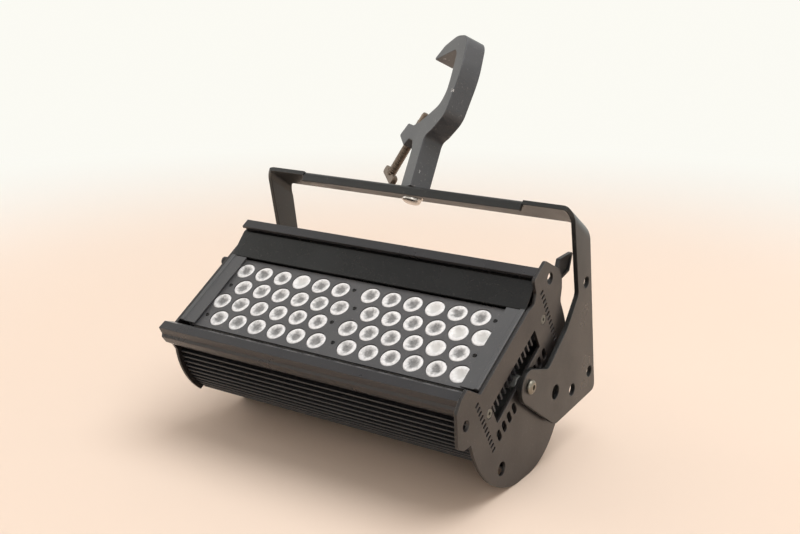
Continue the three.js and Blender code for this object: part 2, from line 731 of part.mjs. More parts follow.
function driverBoard() {
  const { width, height, bottom, standoff, postRadius, inset: edge } = driver;
  const left = driverLeft;
  const front = electronicsFront + standoff;
  const back = front + board.thickness;
  const sheet = block([left, left + width], [front, back], [bottom, bottom + height]);
  const posts = [];
  for (const x of [left + edge, left + width - edge]) {
    for (const z of [bottom + edge, bottom + height - edge]) {
      posts.push(rod(postRadius, electronicsFront, back, axisY, [x, 0, z], 10));
    }
  }
  const first = left + width / 2 - capacitor.pitch * (capacitor.count - 1) / 2;
  const can = (i) => rod(capacitor.radius, front, back + capacitor.height, axisY,
    [first + i * capacitor.pitch, 0, bottom + height / 2]);
  return joined([sheet, ...posts, ...row(capacitor.count, can)]);
}

// Control panel on the upright wall: display window, four sprung buttons, and the board behind them
const panelBack = wallBack + seat;
const panelFront = panelBack + panel.thickness;
const lastColumn = panel.width / 2 - button.edgeGap;
const firstColumn = lastColumn - button.pitch;
const buttonPlaces = [];
for (const up of [1, -1]) {
  for (const x of [firstColumn, lastColumn]) {
    buttonPlaces.push([x, wallMiddle + up * button.pitch / 2]);
  }
}

function displayOpening(shrink) {
  const left = display.leftGap - panel.width / 2;
  const right = firstColumn - button.flangeRadius - display.rightGap;
  const halfHeight = display.height / 2 - shrink;
  return rectangle(left + shrink, right - shrink, wallMiddle - halfHeight, wallMiddle + halfHeight);
}

function controlPanel() {
  const face = rectangle(-panel.width / 2, panel.width / 2, wallMiddle - panel.height / 2,
    wallMiddle + panel.height / 2, panel.cornerRadius);
  face.holes.push(...buttonPlaces.map(([x, z]) => disc(x, z, button.radius + runningGap)));
  const recess = alongY(displayOpening(-seat), panelFront - display.thickness - seat, panelFront + overrun);
  const window = alongY(displayOpening(display.bezel), panelBack - overrun, panelFront);
  return cutBy(alongY(face, panelBack, panelFront), [recess, window]);
}

function displayWindow() {
  return alongY(displayOpening(0), panelFront - display.thickness, panelFront);
}

function menuButton([x, z]) {
  const top = panel.thickness + button.proud;
  const under = -seat - button.flange;
  return turned([
    [0, under], [button.flangeRadius, under], [button.flangeRadius, -seat], [button.radius, -seat],
    [button.radius, top], [0, top],
  ], axisY, [x, panelBack, z]);
}

function controlBoard() {
  const front = panelBack - control.gap;
  const halfWidth = panel.width / 2 - panel.margin - control.inset;
  const halfHeight = panel.height / 2 - panel.margin - control.inset;
  const sheet = block([-halfWidth, halfWidth], [front - control.thickness, front],
    [wallMiddle - halfHeight, wallMiddle + halfHeight]);
  const posts = [];
  for (const x of [-1, 1]) {
    for (const z of [-1, 1]) {
      const along = x * (halfWidth - control.postRadius);
      const place = [along, 0, wallMiddle + z * (halfHeight - control.postRadius)];
      posts.push(rod(control.postRadius, front - control.thickness, panelBack - seat, axisY, place, 10));
    }
  }
  const stemTop = panelBack - seat - button.flange - button.travel - seat;
  const stem = ([x, z]) => rod(control.stemRadius, front - control.thickness, stemTop, axisY, [x, 0, z], 10);
  return joined([sheet, ...posts, ...buttonPlaces.map(stem)]);
}

// Panel socket: a flange on the wall and a barrel through it; pins in its cup, or a face with pin holes
function panelSocket(x, hasCup) {
  const face = panelBack + socket.flange;
  const sheet = rectangle(
    x - socket.width / 2,
    x + socket.width / 2,
    wallMiddle - socket.height / 2,
    wallMiddle + socket.height / 2,
    socket.cornerRadius,
  );
  const flange = alongY(sheet, panelBack, face);
  const barrel = rod(socket.barrelRadius, wallBack - socket.depth, face, axisY, [x, 0, wallMiddle], 16);
  const floor = face - socket.cavityDepth;
  const pinPlaces = arc([x, wallMiddle], socket.pinCircle, ...socket.pinAngles, 2);
  if (!hasCup) {
    const pinFoot = face - socket.pinLength;
    const hole = ([along, up]) => {
      return rod(socket.pinRadius + seat, pinFoot, face + overrun, axisY, [along, 0, up], 8);
    };
    return cutBy(joined([flange, barrel]), pinPlaces.map(hole));
  }
  const cup = rod(socket.cavityRadius, floor, face + overrun, axisY, [x, 0, wallMiddle], 16);
  const pinRoot = floor - socket.pinRadius;
  const pin = ([along, up]) => {
    return rod(socket.pinRadius, pinRoot, floor + socket.pinLength, axisY, [along, 0, up], 6);
  };
  return joined([cutBy(joined([flange, barrel]), [cup]), ...pinPlaces.map(pin)]);
}

// Pivot on each side: a button-head bolt through the arm, a friction washer and a nut behind the plate

function pivotBolt(side) {
  const { radius, headRadius, headHeight, socketRadius, socketDepth } = pivot;
  const headBase = armOuter + seat;
  const tip = plateInner - seat - nut.height - nut.tail;
  const body = turned([
    [0, tip], [radius, tip], [radius, headBase], [headRadius, headBase],
    [headRadius, headBase + headHeight / 2], [headRadius / 2, headBase + headHeight],
    [0, headBase + headHeight],
  ], axisX.clone().multiplyScalar(side), [0, ...centre]);
  const key = rod(socketRadius, headBase + headHeight - socketDepth, headBase + headHeight + overrun,
    axisX.clone().multiplyScalar(side), [0, ...centre], 6);
  return cutBy(body, [key]);
}

function pivotWasher(side) {
  const span = [plateOuter + seat, armInner - seat].map((x) => x * side).sort((a, b) => a - b);
  const ring = disc(...centre, pivot.washerRadius, 20);
  ring.holes.push(disc(...centre, pivot.radius + runningGap));
  return alongX(ring, ...span);
}

function pivotNut(side) {
  const top = plateInner - seat;
  const span = [top - nut.height, top].map((x) => x * side).sort((a, b) => a - b);
  const hexagon = disc(...centre, nut.radius, 6);
  hexagon.holes.push(disc(...centre, pivot.radius + runningGap));
  return alongX(hexagon, ...span);
}

// Latch that holds an accessory in the upper ear's slot, and the thumb screw on the other side
const latchPin = latchPinShares.map((share, i) => [0, extrusion.middle][i] + share * rightPlate.arcRadius);
const latchOuter = plateInner - 2 * seat - latch.pinHeadHeight / 2;

function accessoryLatch() {
  const corners = latchTabShares.map(([back, up, round]) => [
    latchPin[0] + back * latch.length, latchPin[1] + up * latch.length, round * latch.length,
  ]);
  const stem = [[latchPin[0] + latch.radius, latchPin[1]], [latchPin[0] - latch.radius, latchPin[1]]];
  const span = [latchOuter - latch.thickness, latchOuter];
  const lever = joined([
    alongX(outline([...corners, ...stem]), ...span),
    alongX(disc(...latchPin, latch.radius), ...span),
  ]);
  const [inner, outer] = span;
  const boreRadius = latch.pinRadius + runningGap;
  return cutBy(lever, [rod(boreRadius, inner - overrun, outer + overrun, axisX, [0, ...latchPin])]);
}

function latchPinPiece() {
  const end = latchOuter - latch.thickness - seat;
  return turned([
    [0, end - latch.pinHeadHeight], [latch.pinHead, end - latch.pinHeadHeight], [latch.pinHead, end],
    [latch.pinRadius, end], [latch.pinRadius, plateInner - seat], [0, plateInner - seat],
  ], axisX, [0, ...latchPin]);
}

function thumbScrew() {
  const { radius, length, neckRadius, neck, shank } = thumb;
  return turned([
    [0, plateInner - shank], [neckRadius, plateInner - shank], [neckRadius, plateOuter + neck],
    [radius, plateOuter + neck], [radius, plateOuter + neck + length], [0, plateOuter + neck + length],
  ], axisX.clone().negate(), [0, thumb.back, thumb.up]);
}

// Yoke: one bent strip whose ends turn back through the bends into two slanted arms
function stripStation(s) {
  const { thickness, height, bendRadius, slant, frontTurnInset, backTurnInset } = yoke;
  const bendStart = armOuter - bendRadius;
  const bendLength = bendRadius * 90 * degree;
  const along = Math.abs(s);
  const angle = THREE.MathUtils.clamp((along - bendStart) / bendRadius, 0, 90 * degree);
  const drop = Math.max(0, along - bendStart - bendLength);
  const front = yoke.barFront + slant * Math.max(0, along - armOuter + frontTurnInset);
  const back = yoke.barFront + yoke.barWidth + slant * Math.max(0, along - armOuter + backTurnInset);
  const at = (radius, across) => [
    Math.sign(s) * (Math.min(along, bendStart) + radius * Math.sin(angle)),
    across,
    height - bendRadius + radius * Math.cos(angle) - drop,
  ];
  const inner = bendRadius - thickness;
  return [at(bendRadius, front), at(bendRadius, back), at(inner, back), at(inner, front)];
}

// A closed skin over rings of four corners
function lofted(rings) {
  const faces = [[0, 1, 2, 3]];
  for (let i = 0; i + 1 < rings.length; i += 1) {
    for (let k = 0; k < 4; k += 1) {
      const next = (k + 1) % 4;
      faces.push([4 * i + next, 4 * i + k, 4 * (i + 1) + k, 4 * (i + 1) + next]);
    }
  }
  const last = 4 * (rings.length - 1);
  faces.push([last + 3, last + 2, last + 1, last]);
  const geometry = new THREE.BufferGeometry();
  geometry.setAttribute("position", new THREE.Float32BufferAttribute(rings.flat(2), 3));
  geometry.setIndex(faces.flatMap(([a, b, c, d]) => [a, b, c, a, c, d]));
  return solidOf(geometry);
}

function armOutline() {
  const scaled = (shares) => shares.map((corner) => corner.map((share) => share * yoke.height));
  const bendStart = armOuter - yoke.bendRadius;
  const bendEnd = bendStart + yoke.bendRadius * 90 * degree;
  const top = yoke.height - yoke.bendRadius;
  const [front, back] = stripStation(bendEnd).map((corner) => corner[1]);
  return outline([
    [front, top], ...scaled(armFrontShares), ...arc([0, 0], yoke.toeRadius, ...yoke.toeAngles, 8),
    ...scaled(armBackShares), [back, top],
  ]);
}

function yokeBracket() {
  const bendStart = armOuter - yoke.bendRadius;
  const bendLength = yoke.bendRadius * 90 * degree;
  const turns = [armOuter - yoke.backTurnInset, armOuter - yoke.frontTurnInset];
  const stations = [...turns, bendStart + bendLength + yoke.thickness];
  for (let i = 0; i <= yoke.bendSteps; i += 1) stations.push(bendStart + bendLength * i / yoke.bendSteps);
  stations.sort((a, b) => a - b);
  const strip = lofted([...stations.map((s) => -s).reverse(), ...stations].map(stripStation));
  const shape = armOutline();
  shape.holes.push(disc(0, 0, pivot.radius + runningGap));
  for (const hole of armHoleShares) shape.holes.push(disc(...hole.map((share) => share * yoke.height)));
  const lip = outline([
    [yoke.barFront, yoke.height, yoke.lipRound], [yoke.barFront, yoke.height - yoke.lipDepth],
    [yoke.barFront + yoke.thickness, yoke.height - yoke.lipDepth],
    [yoke.barFront + yoke.thickness, yoke.height],
  ]);
  const bracket = joined([
    strip,
    alongX(shape, armInner, armOuter, 2),
    alongX(shape, -armOuter, -armInner, 2),
    alongX(lip, yoke.lipInset - armOuter, armOuter - yoke.lipInset),
  ]);
  const middle = yoke.barFront + yoke.barWidth / 2;
  const lipFoot = yoke.height - yoke.lipDepth;
  return cutBy(bracket, [rod(yoke.boltHole, lipFoot, yoke.height + overrun, axisZ, [0, middle, 0])]);
}

// Bolt under the bar that holds the clamp, with its washer
function clampBoltPiece() {
  const { radius, washerHeight, headRadius, headHeight, grip } = clampBolt;
  const headTop = -yoke.thickness - 2 * seat - washerHeight;
  return turned([
    [0, headTop - headHeight], [headRadius - seat, headTop - headHeight],
    [headRadius, headTop - headHeight + seat], [headRadius, headTop],
    [radius, headTop], [radius, grip], [0, grip],
  ], axisZ, [0, 0, 0], 20);
}

function clampWasher() {
  const top = -yoke.thickness - seat;
  const ring = disc(0, 0, clampBolt.washerRadius, 24);
  ring.holes.push(disc(0, 0, clampBolt.radius + runningGap));
  return alongZ(ring, top - clampBolt.washerHeight, top);
}

// Hook clamp: one thick hook with an ear that carries the clamping screw
const screwWay = new THREE.Vector3(0, -Math.sin(screwLean * degree), Math.cos(screwLean * degree));
const screwFoot = [0, ...screwFootShares.map((share) => share * hook.height)];

function hookClamp() {
  const corners = hookOuterShares.map((corner) => corner.map((share) => share * hook.height));
  const body = alongX(outline(corners), -hook.width / 2, hook.width / 2, 3);
  const bore = rod(clampBolt.radius + runningGap, -overrun, hook.boreDepth);
  const { radius, length } = clampScrew;
  const ear = rod(radius + hook.gap, radius, length + overrun, screwWay, screwFoot);
  return cutBy(body, [bore, ear]);
}

function clampScrewPiece() {
  const { radius, length, tipLength, wingSpan, wingHeight, wingThickness } = clampScrew;
  const shaft = turned([
    [0, 0], [radius, 0], [radius, length - tipLength], [radius / 2, length], [0, length],
  ], screwWay, screwFoot);
  const wing = new THREE.BoxGeometry(wingThickness, wingSpan, wingHeight);
  wing.rotateX(screwLean * degree);
  wing.translate(...screwFoot);
  return joined([shaft, solidOf(wing)]);
}

// Assembly: the light in its own frame, the yoke on its pivots, the clamp on the yoke's bar
const light = new THREE.Group();
light.add(
  meshOf("heatsink_body", heatsinkBody(), blackAluminium),
  meshOf("top_rail", topRail(), blackAluminium),
  meshOf("bottom_rail", bottomRail(), blackAluminium),
  meshOf("glare_panel", glarePanel(), blackAluminium),
  meshOf("left_end_plate", leftEndPlate(), brownPaint),
  meshOf("right_end_plate", rightEndPlate(), brownPaint),
  meshOf("lens_mask", lensMask(), maskBlack),
  meshOf("chassis_plate", chassisPlate(), zincPlate),
  meshOf("power_supply", powerSupply(), zincPlate),
  meshOf("driver_board", driverBoard(), boardGreen),
  meshOf("accessory_latch", accessoryLatch(), blackPlastic),
  meshOf("latch_pin", latchPinPiece(), darkSteel),
  meshOf("thumb_screw", thumbScrew(), blackPlastic),
);
for (const [word, side] of [["left", -1], ["right", 1]]) {
  light.add(
    meshOf(`${word}_lens_block`, lensBlock(side), lensClear),
    meshOf(`${word}_led_board`, ledBoard(side), boardWhite),
    meshOf(`${word}_cheek_panel`, cheekPanel(side), cheekGrey),
    meshOf(`${word}_upper_plate_screw`, countersunk(side, portPlaces[0]), bareSteel),
    meshOf(`${word}_lower_plate_screw`, countersunk(side, portPlaces[1]), bareSteel),
    meshOf(`${word}_pivot_bolt`, pivotBolt(side), bareSteel),
    meshOf(`${word}_pivot_washer`, pivotWasher(side), blackPlastic),
    meshOf(`${word}_pivot_nut`, pivotNut(side), zincPlate),
  );
}

const clamp = new THREE.Group();
clamp.position.set(0, yoke.barFront + yoke.barWidth / 2, yoke.height + seat);
clamp.rotation.z = hook.swivel * degree;
clamp.add(
  meshOf("hook_clamp", hookClamp(), clampGrey),
  meshOf("clamp_screw", clampScrewPiece(), darkSteel),
);

const yokeGroup = new THREE.Group();
yokeGroup.position.set(0, ...centre);
yokeGroup.rotation.x = yoke.turn * degree;
const bolt = meshOf("clamp_bolt", clampBoltPiece(), bareSteel);
const washer = meshOf("clamp_washer", clampWasher(), bareSteel);
for (const piece of [bolt, washer]) piece.position.set(0, yoke.barFront + yoke.barWidth / 2, yoke.height);
yokeGroup.add(meshOf("yoke_bracket", yokeBracket(), brownPaint), bolt, washer, clamp);
light.add(yokeGroup);
light.rotation.x = -restTilt * degree;

const upright = new THREE.Group();
upright.add(
  light,
  meshOf("rear_cover", rearCover(), brownPaint),
  meshOf("left_end_cap", leftEndCap(), brownPaint),
  meshOf("control_panel", controlPanel(), blackPlastic),
  meshOf("display_window", displayWindow(), darkGlass),
  meshOf("control_board", controlBoard(), boardGreen),
  ...buttonPlaces.map((place, i) => meshOf(`menu_button_${i + 1}`, menuButton(place), buttonGrey)),
  ...socketPlaces.map(([name, x]) => {
    return meshOf(name, panelSocket(x, name !== "data_out"), blackPlastic);
  }),
);

// The footprint's centre comes over the origin and the lowest faces on z = 0
const group = new THREE.Group();
group.add(upright);
group.updateMatrixWorld(true);
const box = new THREE.Box3().setFromObject(group, true);
upright.position.set(-(box.min.x + box.max.x) / 2, -(box.min.y + box.max.y) / 2, -box.min.z);

export default group;
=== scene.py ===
import contextlib
import math

import bmesh
import bpy
from mathutils import Matrix, Vector


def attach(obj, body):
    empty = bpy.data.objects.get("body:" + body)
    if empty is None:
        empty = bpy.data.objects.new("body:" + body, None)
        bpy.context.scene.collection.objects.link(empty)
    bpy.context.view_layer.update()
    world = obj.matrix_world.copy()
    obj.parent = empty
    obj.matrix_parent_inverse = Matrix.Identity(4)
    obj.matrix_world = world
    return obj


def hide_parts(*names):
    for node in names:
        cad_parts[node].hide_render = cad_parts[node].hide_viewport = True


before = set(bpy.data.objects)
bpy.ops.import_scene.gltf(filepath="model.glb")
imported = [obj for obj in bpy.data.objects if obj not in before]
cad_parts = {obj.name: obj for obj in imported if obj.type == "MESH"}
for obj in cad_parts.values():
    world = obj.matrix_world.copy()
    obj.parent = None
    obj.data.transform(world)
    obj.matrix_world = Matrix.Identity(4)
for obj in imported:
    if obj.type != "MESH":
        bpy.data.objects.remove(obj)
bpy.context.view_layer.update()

scene = bpy.context.scene
scene.view_settings.view_transform = "Standard"


# The camera stands in front of the light's right half, a little above it, with a 50 mm lens on a
# 36 mm wide sensor. It looks down by about sixteen degrees and stands level.
camera_place = (0.58008, -0.85471, 0.45624)
view_way = Vector((-0.52994, 0.80311, -0.27235))
camera_data = bpy.data.cameras.new("camera")
camera_data.lens = 50
camera_data.sensor_width = 36
camera_data.clip_end = 50
camera = bpy.data.objects.new("camera", camera_data)
camera.location = camera_place
camera.rotation_euler = view_way.to_track_quat("-Z", "Y").to_euler()
scene.collection.objects.link(camera)
scene.camera = camera


# The room: a round pale floor that sweeps up into a wall, the same from every side, and looks white
# from a metre out. A wide soft lamp hangs over the light, and two weaker ones stand beside it.
@contextlib.contextmanager
def shaping(mesh):
    """The mesh as a bmesh to work on; the mesh takes the changes at the end."""
    work = bmesh.new()
    work.from_mesh(mesh)
    yield work
    work.to_mesh(mesh)
    work.free()


def turned(profile, steps=48):
    """A mesh turned round Z from corners (radius, height); a corner on the axis becomes a pole."""
    mesh = bpy.data.meshes.new("turned")
    angles = [2 * math.pi * k / steps for k in range(steps)]
    with shaping(mesh) as work:
        rings = []
        for radius, height in profile:
            if radius == 0:
                rings.append([work.verts.new((0, 0, height))] * steps)
            else:
                places = [(radius * math.cos(a), radius * math.sin(a), height) for a in angles]
                rings.append([work.verts.new(place) for place in places])
        for lower, upper in zip(rings, rings[1:]):
            for k in range(steps):
                corners = [lower[k - 1], lower[k], upper[k], upper[k - 1]]
                corners = [c for i, c in enumerate(corners) if c not in corners[:i]]
                if len(corners) > 2:
                    work.faces.new(corners)
    return mesh


def wire(tree, kind, sockets=None, **settings):
    """A node with its settings, and with each of its sockets given a value or joined to another node."""
    node = tree.nodes.new(kind)
    for key, value in settings.items():
        setattr(node, key, value)
    for key, value in (sockets or {}).items():
        if isinstance(value, bpy.types.NodeSocket):
            tree.links.new(value, node.inputs[key])
        else:
            node.inputs[key].default_value = value
    return node


def result(tree, kind, sockets=None, **settings):
    """The first output of such a node."""
    return wire(tree, kind, sockets, **settings).outputs[0]


def calc(tree, operation, first, second=0.0, third=0.0, **settings):
    """The result of one Math node."""
    return result(tree, "ShaderNodeMath", {0: first, 1: second, 2: third}, operation=operation, **settings)


def ranged(tree, value, low, high, to_low=0.0, to_high=1.0, **settings):
    """How far the value is from low to high, as a place from to_low to to_high."""
    sockets = {"Value": value, "From Min": low, "From Max": high, "To Min": to_low, "To Max": to_high}
    return result(tree, "ShaderNodeMapRange", sockets, **settings)


def blended(tree, share, first, second):
    """A colour that goes from first to second; a Mix node's colours are its sockets 6 and 7."""
    return wire(tree, "ShaderNodeMix", {0: share, 6: first, 7: second}, data_type="RGBA").outputs[2]


def new_finish(name):
    """A new material with its tree, its shader, and the place on the object that its patterns follow."""
    made = bpy.data.materials.new(name)
    made.use_nodes = True
    tree = made.node_tree
    return made, tree, tree.nodes["Principled BSDF"], wire(tree, "ShaderNodeTexCoord").outputs["Object"]


floor_radius, sweep_radius, wall_top = 2.3, 0.9, 3.4
floor_near, floor_far, floor_tint_ring = (0.80, 0.66, 0.55, 1), (0.88, 0.80, 0.73, 1), (0.45, 1.5)
backdrop_white, backdrop_ring = (0.97, 0.96, 0.90, 1), (0.75, 1.7)
profile = [(0, 0), (floor_radius, 0)]
for degrees in range(6, 91, 6):
    angle = math.radians(degrees)
    profile.append((floor_radius + sweep_radius * math.sin(angle), sweep_radius * (1 - math.cos(angle))))
profile.append((floor_radius + sweep_radius, wall_top))
room_mesh = turned(profile, 96)
room_mesh.flip_normals()
room_mesh.shade_smooth()
room = bpy.data.objects.new("room", room_mesh)
scene.collection.objects.link(room)

room_paint, tree, shader, place = new_finish("pale room")
room_mesh.materials.append(room_paint)
shader.inputs["Roughness"].default_value = 0.7
away = wire(tree, "ShaderNodeVectorMath", {0: place}, operation="LENGTH").outputs["Value"]
outwards = ranged(tree, away, *floor_tint_ring, interpolation_type="SMOOTHSTEP")
tree.links.new(blended(tree, outwards, floor_near, floor_far), shader.inputs["Base Color"])
rays = wire(tree, "ShaderNodeLightPath").outputs
mirrored = calc(tree, "ADD", rays["Is Glossy Ray"], rays["Is Transmission Ray"])
seen = calc(tree, "ADD", rays["Is Camera Ray"], mirrored, use_clamp=True)
whiter = ranged(tree, away, *backdrop_ring, interpolation_type="SMOOTHSTEP")
backdrop = result(tree, "ShaderNodeEmission", {"Color": backdrop_white, "Strength": 1.0})
mixed = result(tree, "ShaderNodeMixShader", {
    0: calc(tree, "MULTIPLY", seen, whiter), 1: shader.outputs[0], 2: backdrop,
})
tree.links.new(mixed, tree.nodes["Material Output"].inputs["Surface"])

world = bpy.data.worlds.new("room light")
world.use_nodes = True
background = world.node_tree.nodes["Background"]
background.inputs["Color"].default_value = (1, 0.99, 0.97, 1)
background.inputs["Strength"].default_value = 0.6
scene.world = world
lamps_aim = Vector((0, 0, 0.15))
for name, size, power, spot in (
    ("overhead lamp", 1.9, 36, (0.5, 0.3, 2.2)),
    ("left lamp", 1.2, 9, (-1.9, -0.5, 0.8)),
    ("right lamp", 1.0, 5, (1.2, -1.7, 0.9)),
):
    lamp_data = bpy.data.lights.new(name, "AREA")
    lamp_data.shape = "DISK"
    lamp_data.size = size
    lamp_data.energy = power
    lamp = bpy.data.objects.new(name, lamp_data)
    lamp.location = spot
    lamp.rotation_euler = (lamps_aim - Vector(spot)).to_track_quat("-Z", "Y").to_euler()
    scene.collection.objects.link(lamp)


# Finned body: one aluminium extrusion, anodised black, as long as the batten. Its round back carries
# cooling fins above and below, and its flat front plate carries the circuit boards and the rails.
# Sizes from here on are in millimetres, and sections are drawn as (back, up).
light_stand = Matrix.Translation((0, -0.070843, 0.132254))
millimetres = Matrix.Scale(0.001, 4)
light = light_stand @ Matrix.Rotation(math.radians(-59.16), 4, "X") @ millimetres
section_along_x = Matrix(((0, 0, 1, 0), (1, 0, 0, 0), (0, 1, 0, 0), (0, 0, 0, 1)))
along_light = light @ section_along_x
body_half = 167.2
centre = (50, 6.4)


def rounded(corners, steps=6):
    """An outline through corners (u, v, rounding), with each rounding drawn in steps."""
    points = []
    for i, corner in enumerate(corners):
        here = Vector(corner[:2])
        before = Vector(corners[i - 1][:2]) - here
        after = Vector(corners[(i + 1) % len(corners)][:2]) - here
        radius = corner[2] if len(corner) > 2 else 0
        if radius == 0:
            points.append(tuple(here))
            continue
        reach = min(radius / math.tan(before.angle(after) / 2), before.length / 2, after.length / 2)
        start = here + before.normalized() * reach
        end = here + after.normalized() * reach
        for k in range(steps + 1):
            t = k / steps
            points.append(tuple(start * (1 - t) ** 2 + here * 2 * t * (1 - t) + end * t ** 2))
    return points


def arc(middle, radius, first, last, steps):
    """Points on an arc, from first to last in degrees."""
    angles = [math.radians(first + (last - first) * k / steps) for k in range(steps + 1)]
    return [(middle[0] + radius * math.cos(a), middle[1] + radius * math.sin(a)) for a in angles]


def plain_mesh(thing):
    """The mesh of an object with its modifiers or its curve settings applied; the object is dropped."""
    scene.collection.objects.link(thing)
    depsgraph = bpy.context.evaluated_depsgraph_get()
    mesh = bpy.data.meshes.new_from_object(
        thing.evaluated_get(depsgraph), preserve_all_data_layers=True, depsgraph=depsgraph)
    bpy.data.objects.remove(thing)
    return mesh


def cut_from_sheet(loops, low, high, edge=0.3):
    """A solid between two heights, from an outline and its holes, with softened rims (material 1)."""
    merge_gap, rim_gap = 0.002, 0.02
    drawing = bpy.data.curves.new("outline", "CURVE")
    drawing.dimensions = "2D"
    drawing.fill_mode = "BOTH"
    for loop in loops:
        line = drawing.splines.new("POLY")
        line.points.add(len(loop) - 1)
        for point, (u, v) in zip(line.points, loop):
            point.co = (u, v, 0, 1)
        line.use_cyclic_u = True
    drawing.extrude = (high - low) / 2 - edge
    drawing.bevel_depth = edge
    drawing.bevel_resolution = 2
    drawing.offset = -edge
    mesh = plain_mesh(bpy.data.objects.new("outline", drawing))
    with shaping(mesh) as work:
        bmesh.ops.remove_doubles(work, verts=work.verts, dist=merge_gap)
        bmesh.ops.translate(work, verts=work.verts, vec=(0, 0, (low + high) / 2))
        for face in work.faces:
            depth = face.calc_center_median().z
            face.material_index = 1 if rim_gap < min(depth - low, high - depth) < edge else 0
    return mesh


def fitted(name, mesh, into_place, body, slot_name, finishes, *nodes):
    """A finished piece: in place, smooth but for its sharp edges, riding on its body."""
    crease_angle = math.radians(32)
    with shaping(mesh) as work:
        work.transform(into_place)
        bmesh.ops.recalc_face_normals(work, faces=work.faces)
    mesh.shade_smooth()
    mesh.set_sharp_from_angle(angle=crease_angle)
    holder = bpy.data.objects.new("holder", mesh)
    holder.modifiers.new("flat faces stay flat", "WEIGHTED_NORMAL").keep_sharp = True
    mesh = plain_mesh(holder)
    mesh.name = name
    mesh.materials.clear()
    for finish in finishes:
        mesh.materials.append(finish)
    piece = bpy.data.objects.new(name, mesh)
    scene.collection.objects.link(piece)
    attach(piece, body)
    if nodes:
        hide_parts(*nodes)


def noise(tree, place, scale, detail, roughness=0.5):
    """Cloudy noise from 0 to 1, with scale as its clouds to the metre."""
    sockets = {"Vector": place, "Scale": scale, "Detail": detail, "Roughness": roughness}
    return wire(tree, "ShaderNodeTexNoise", sockets).outputs["Fac"]


def coating(name, colour, roughness, grain, depth, cloud=0.12, metallic=0.0, dust=0.0, mirror=0.5):
    """Paint, anodising or moulded plastic: clouded colour, a fine grain, and dust in scattered patches."""
    dust_grey = (0.30, 0.29, 0.27, 1)
    made, tree, shader, place = new_finish(name)
    patches = noise(tree, place, scale=24, detail=4)
    darker, lighter = ((*(c * amount for c in colour), 1) for amount in (1 - cloud, 1 + cloud))
    tint = blended(tree, patches, darker, lighter)
    if dust:
        share = ranged(tree, noise(tree, place, scale=420, detail=3), 0.62, 0.8, to_high=dust)
        tint = blended(tree, share, tint, dust_grey)
    tree.links.new(tint, shader.inputs["Base Color"])
    gloss = ranged(tree, patches, 0.3, 0.7, roughness - 0.06, roughness + 0.08)
    tree.links.new(gloss, shader.inputs["Roughness"])
    fine = noise(tree, place, scale=grain, detail=2)
    bump = result(tree, "ShaderNodeBump", {"Height": fine, "Strength": depth, "Distance": 0.0004})
    tree.links.new(bump, shader.inputs["Normal"])
    shader.inputs["Metallic"].default_value = metallic
    shader.inputs["Specular IOR Level"].default_value = mirror
    return made


def worn(name, colour, bare, share):
    """The coating on a rim, rubbed through to bare metal in places."""
    made, tree, shader, place = new_finish(name)
    long_wear = noise(tree, place, scale=35, detail=5, roughness=0.7)
    rubbed = ranged(tree, long_wear, 0.72 - share, 0.82 - share)
    tree.links.new(blended(tree, rubbed, (*colour, 1), (*bare, 1)), shader.inputs["Base Color"])
    tree.links.new(calc(tree, "MULTIPLY", rubbed, 0.8), shader.inputs["Metallic"])
    shader.inputs["Roughness"].default_value = 0.4
    return made


def recipe(name, sizes):
    """A Geometry Nodes tree with one named input for each size; returns it and its inputs."""
    tree = bpy.data.node_groups.new(name, "GeometryNodeTree")
    tree.interface.new_socket("Geometry", in_out="INPUT", socket_type="NodeSocketGeometry")
    for label, kind in sizes.items():
        tree.interface.new_socket(label, in_out="INPUT", socket_type="NodeSocket" + kind)
    tree.interface.new_socket("Geometry", in_out="OUTPUT", socket_type="NodeSocketGeometry")
    return tree, tree.nodes.new("NodeGroupInput").outputs


def close_recipe(tree, geometry, finish):
    """Ends a tree: instances become real, and the finish is set."""
    real = result(tree, "GeometryNodeRealizeInstances", {0: geometry})
    dressed = result(tree, "GeometryNodeSetMaterial", {"Geometry": real, "Material": finish})
    tree.links.new(dressed, tree.nodes.new("NodeGroupOutput").inputs[0])


def made_by(tree, mesh, sizes):
    """What a tree makes of a mesh at these sizes, as a plain mesh."""
    holder = bpy.data.objects.new("holder", mesh)
    modifier = holder.modifiers.new("recipe", "NODES")
    modifier.node_group = tree
    for socket in tree.interface.items_tree:
        if socket.in_out == "INPUT" and socket.name in sizes:
            modifier[socket.identifier] = sizes[socket.name]
    return plain_mesh(holder)


anodised = coating("black anodising", (0.023, 0.024, 0.027), 0.36, 1500, 0.05, dust=0.12)
anodised_edge = worn("anodising on edges", (0.03, 0.03, 0.034), (0.42, 0.42, 0.44), 0.05)
cut_end = coating("sawn ends", (0.12, 0.10, 0.088), 0.4, 900, 0.2)

fins, size = recipe("fins round the back", {
    "Count": "Int", "First Angle": "Float", "Last Angle": "Float", "Centre Back": "Float",
    "Centre Up": "Float", "Coating": "Material",
})
index = result(fins, "GeometryNodeInputIndex")
share = calc(fins, "DIVIDE", index, calc(fins, "SUBTRACT", size["Count"], 1.0))
span = calc(fins, "SUBTRACT", size["Last Angle"], size["First Angle"])
angle = calc(fins, "MULTIPLY_ADD", span, share, size["First Angle"])
turn = result(fins, "ShaderNodeCombineXYZ", {"X": angle})
hub = result(fins, "ShaderNodeCombineXYZ", {"Y": size["Centre Back"], "Z": size["Centre Up"]})
hubs = result(fins, "GeometryNodePoints", {"Count": size["Count"], "Position": hub})
fan = result(fins, "GeometryNodeInstanceOnPoints", {
    "Points": hubs, "Instance": size["Geometry"], "Rotation": turn,
})
close_recipe(fins, fan, size["Coating"])

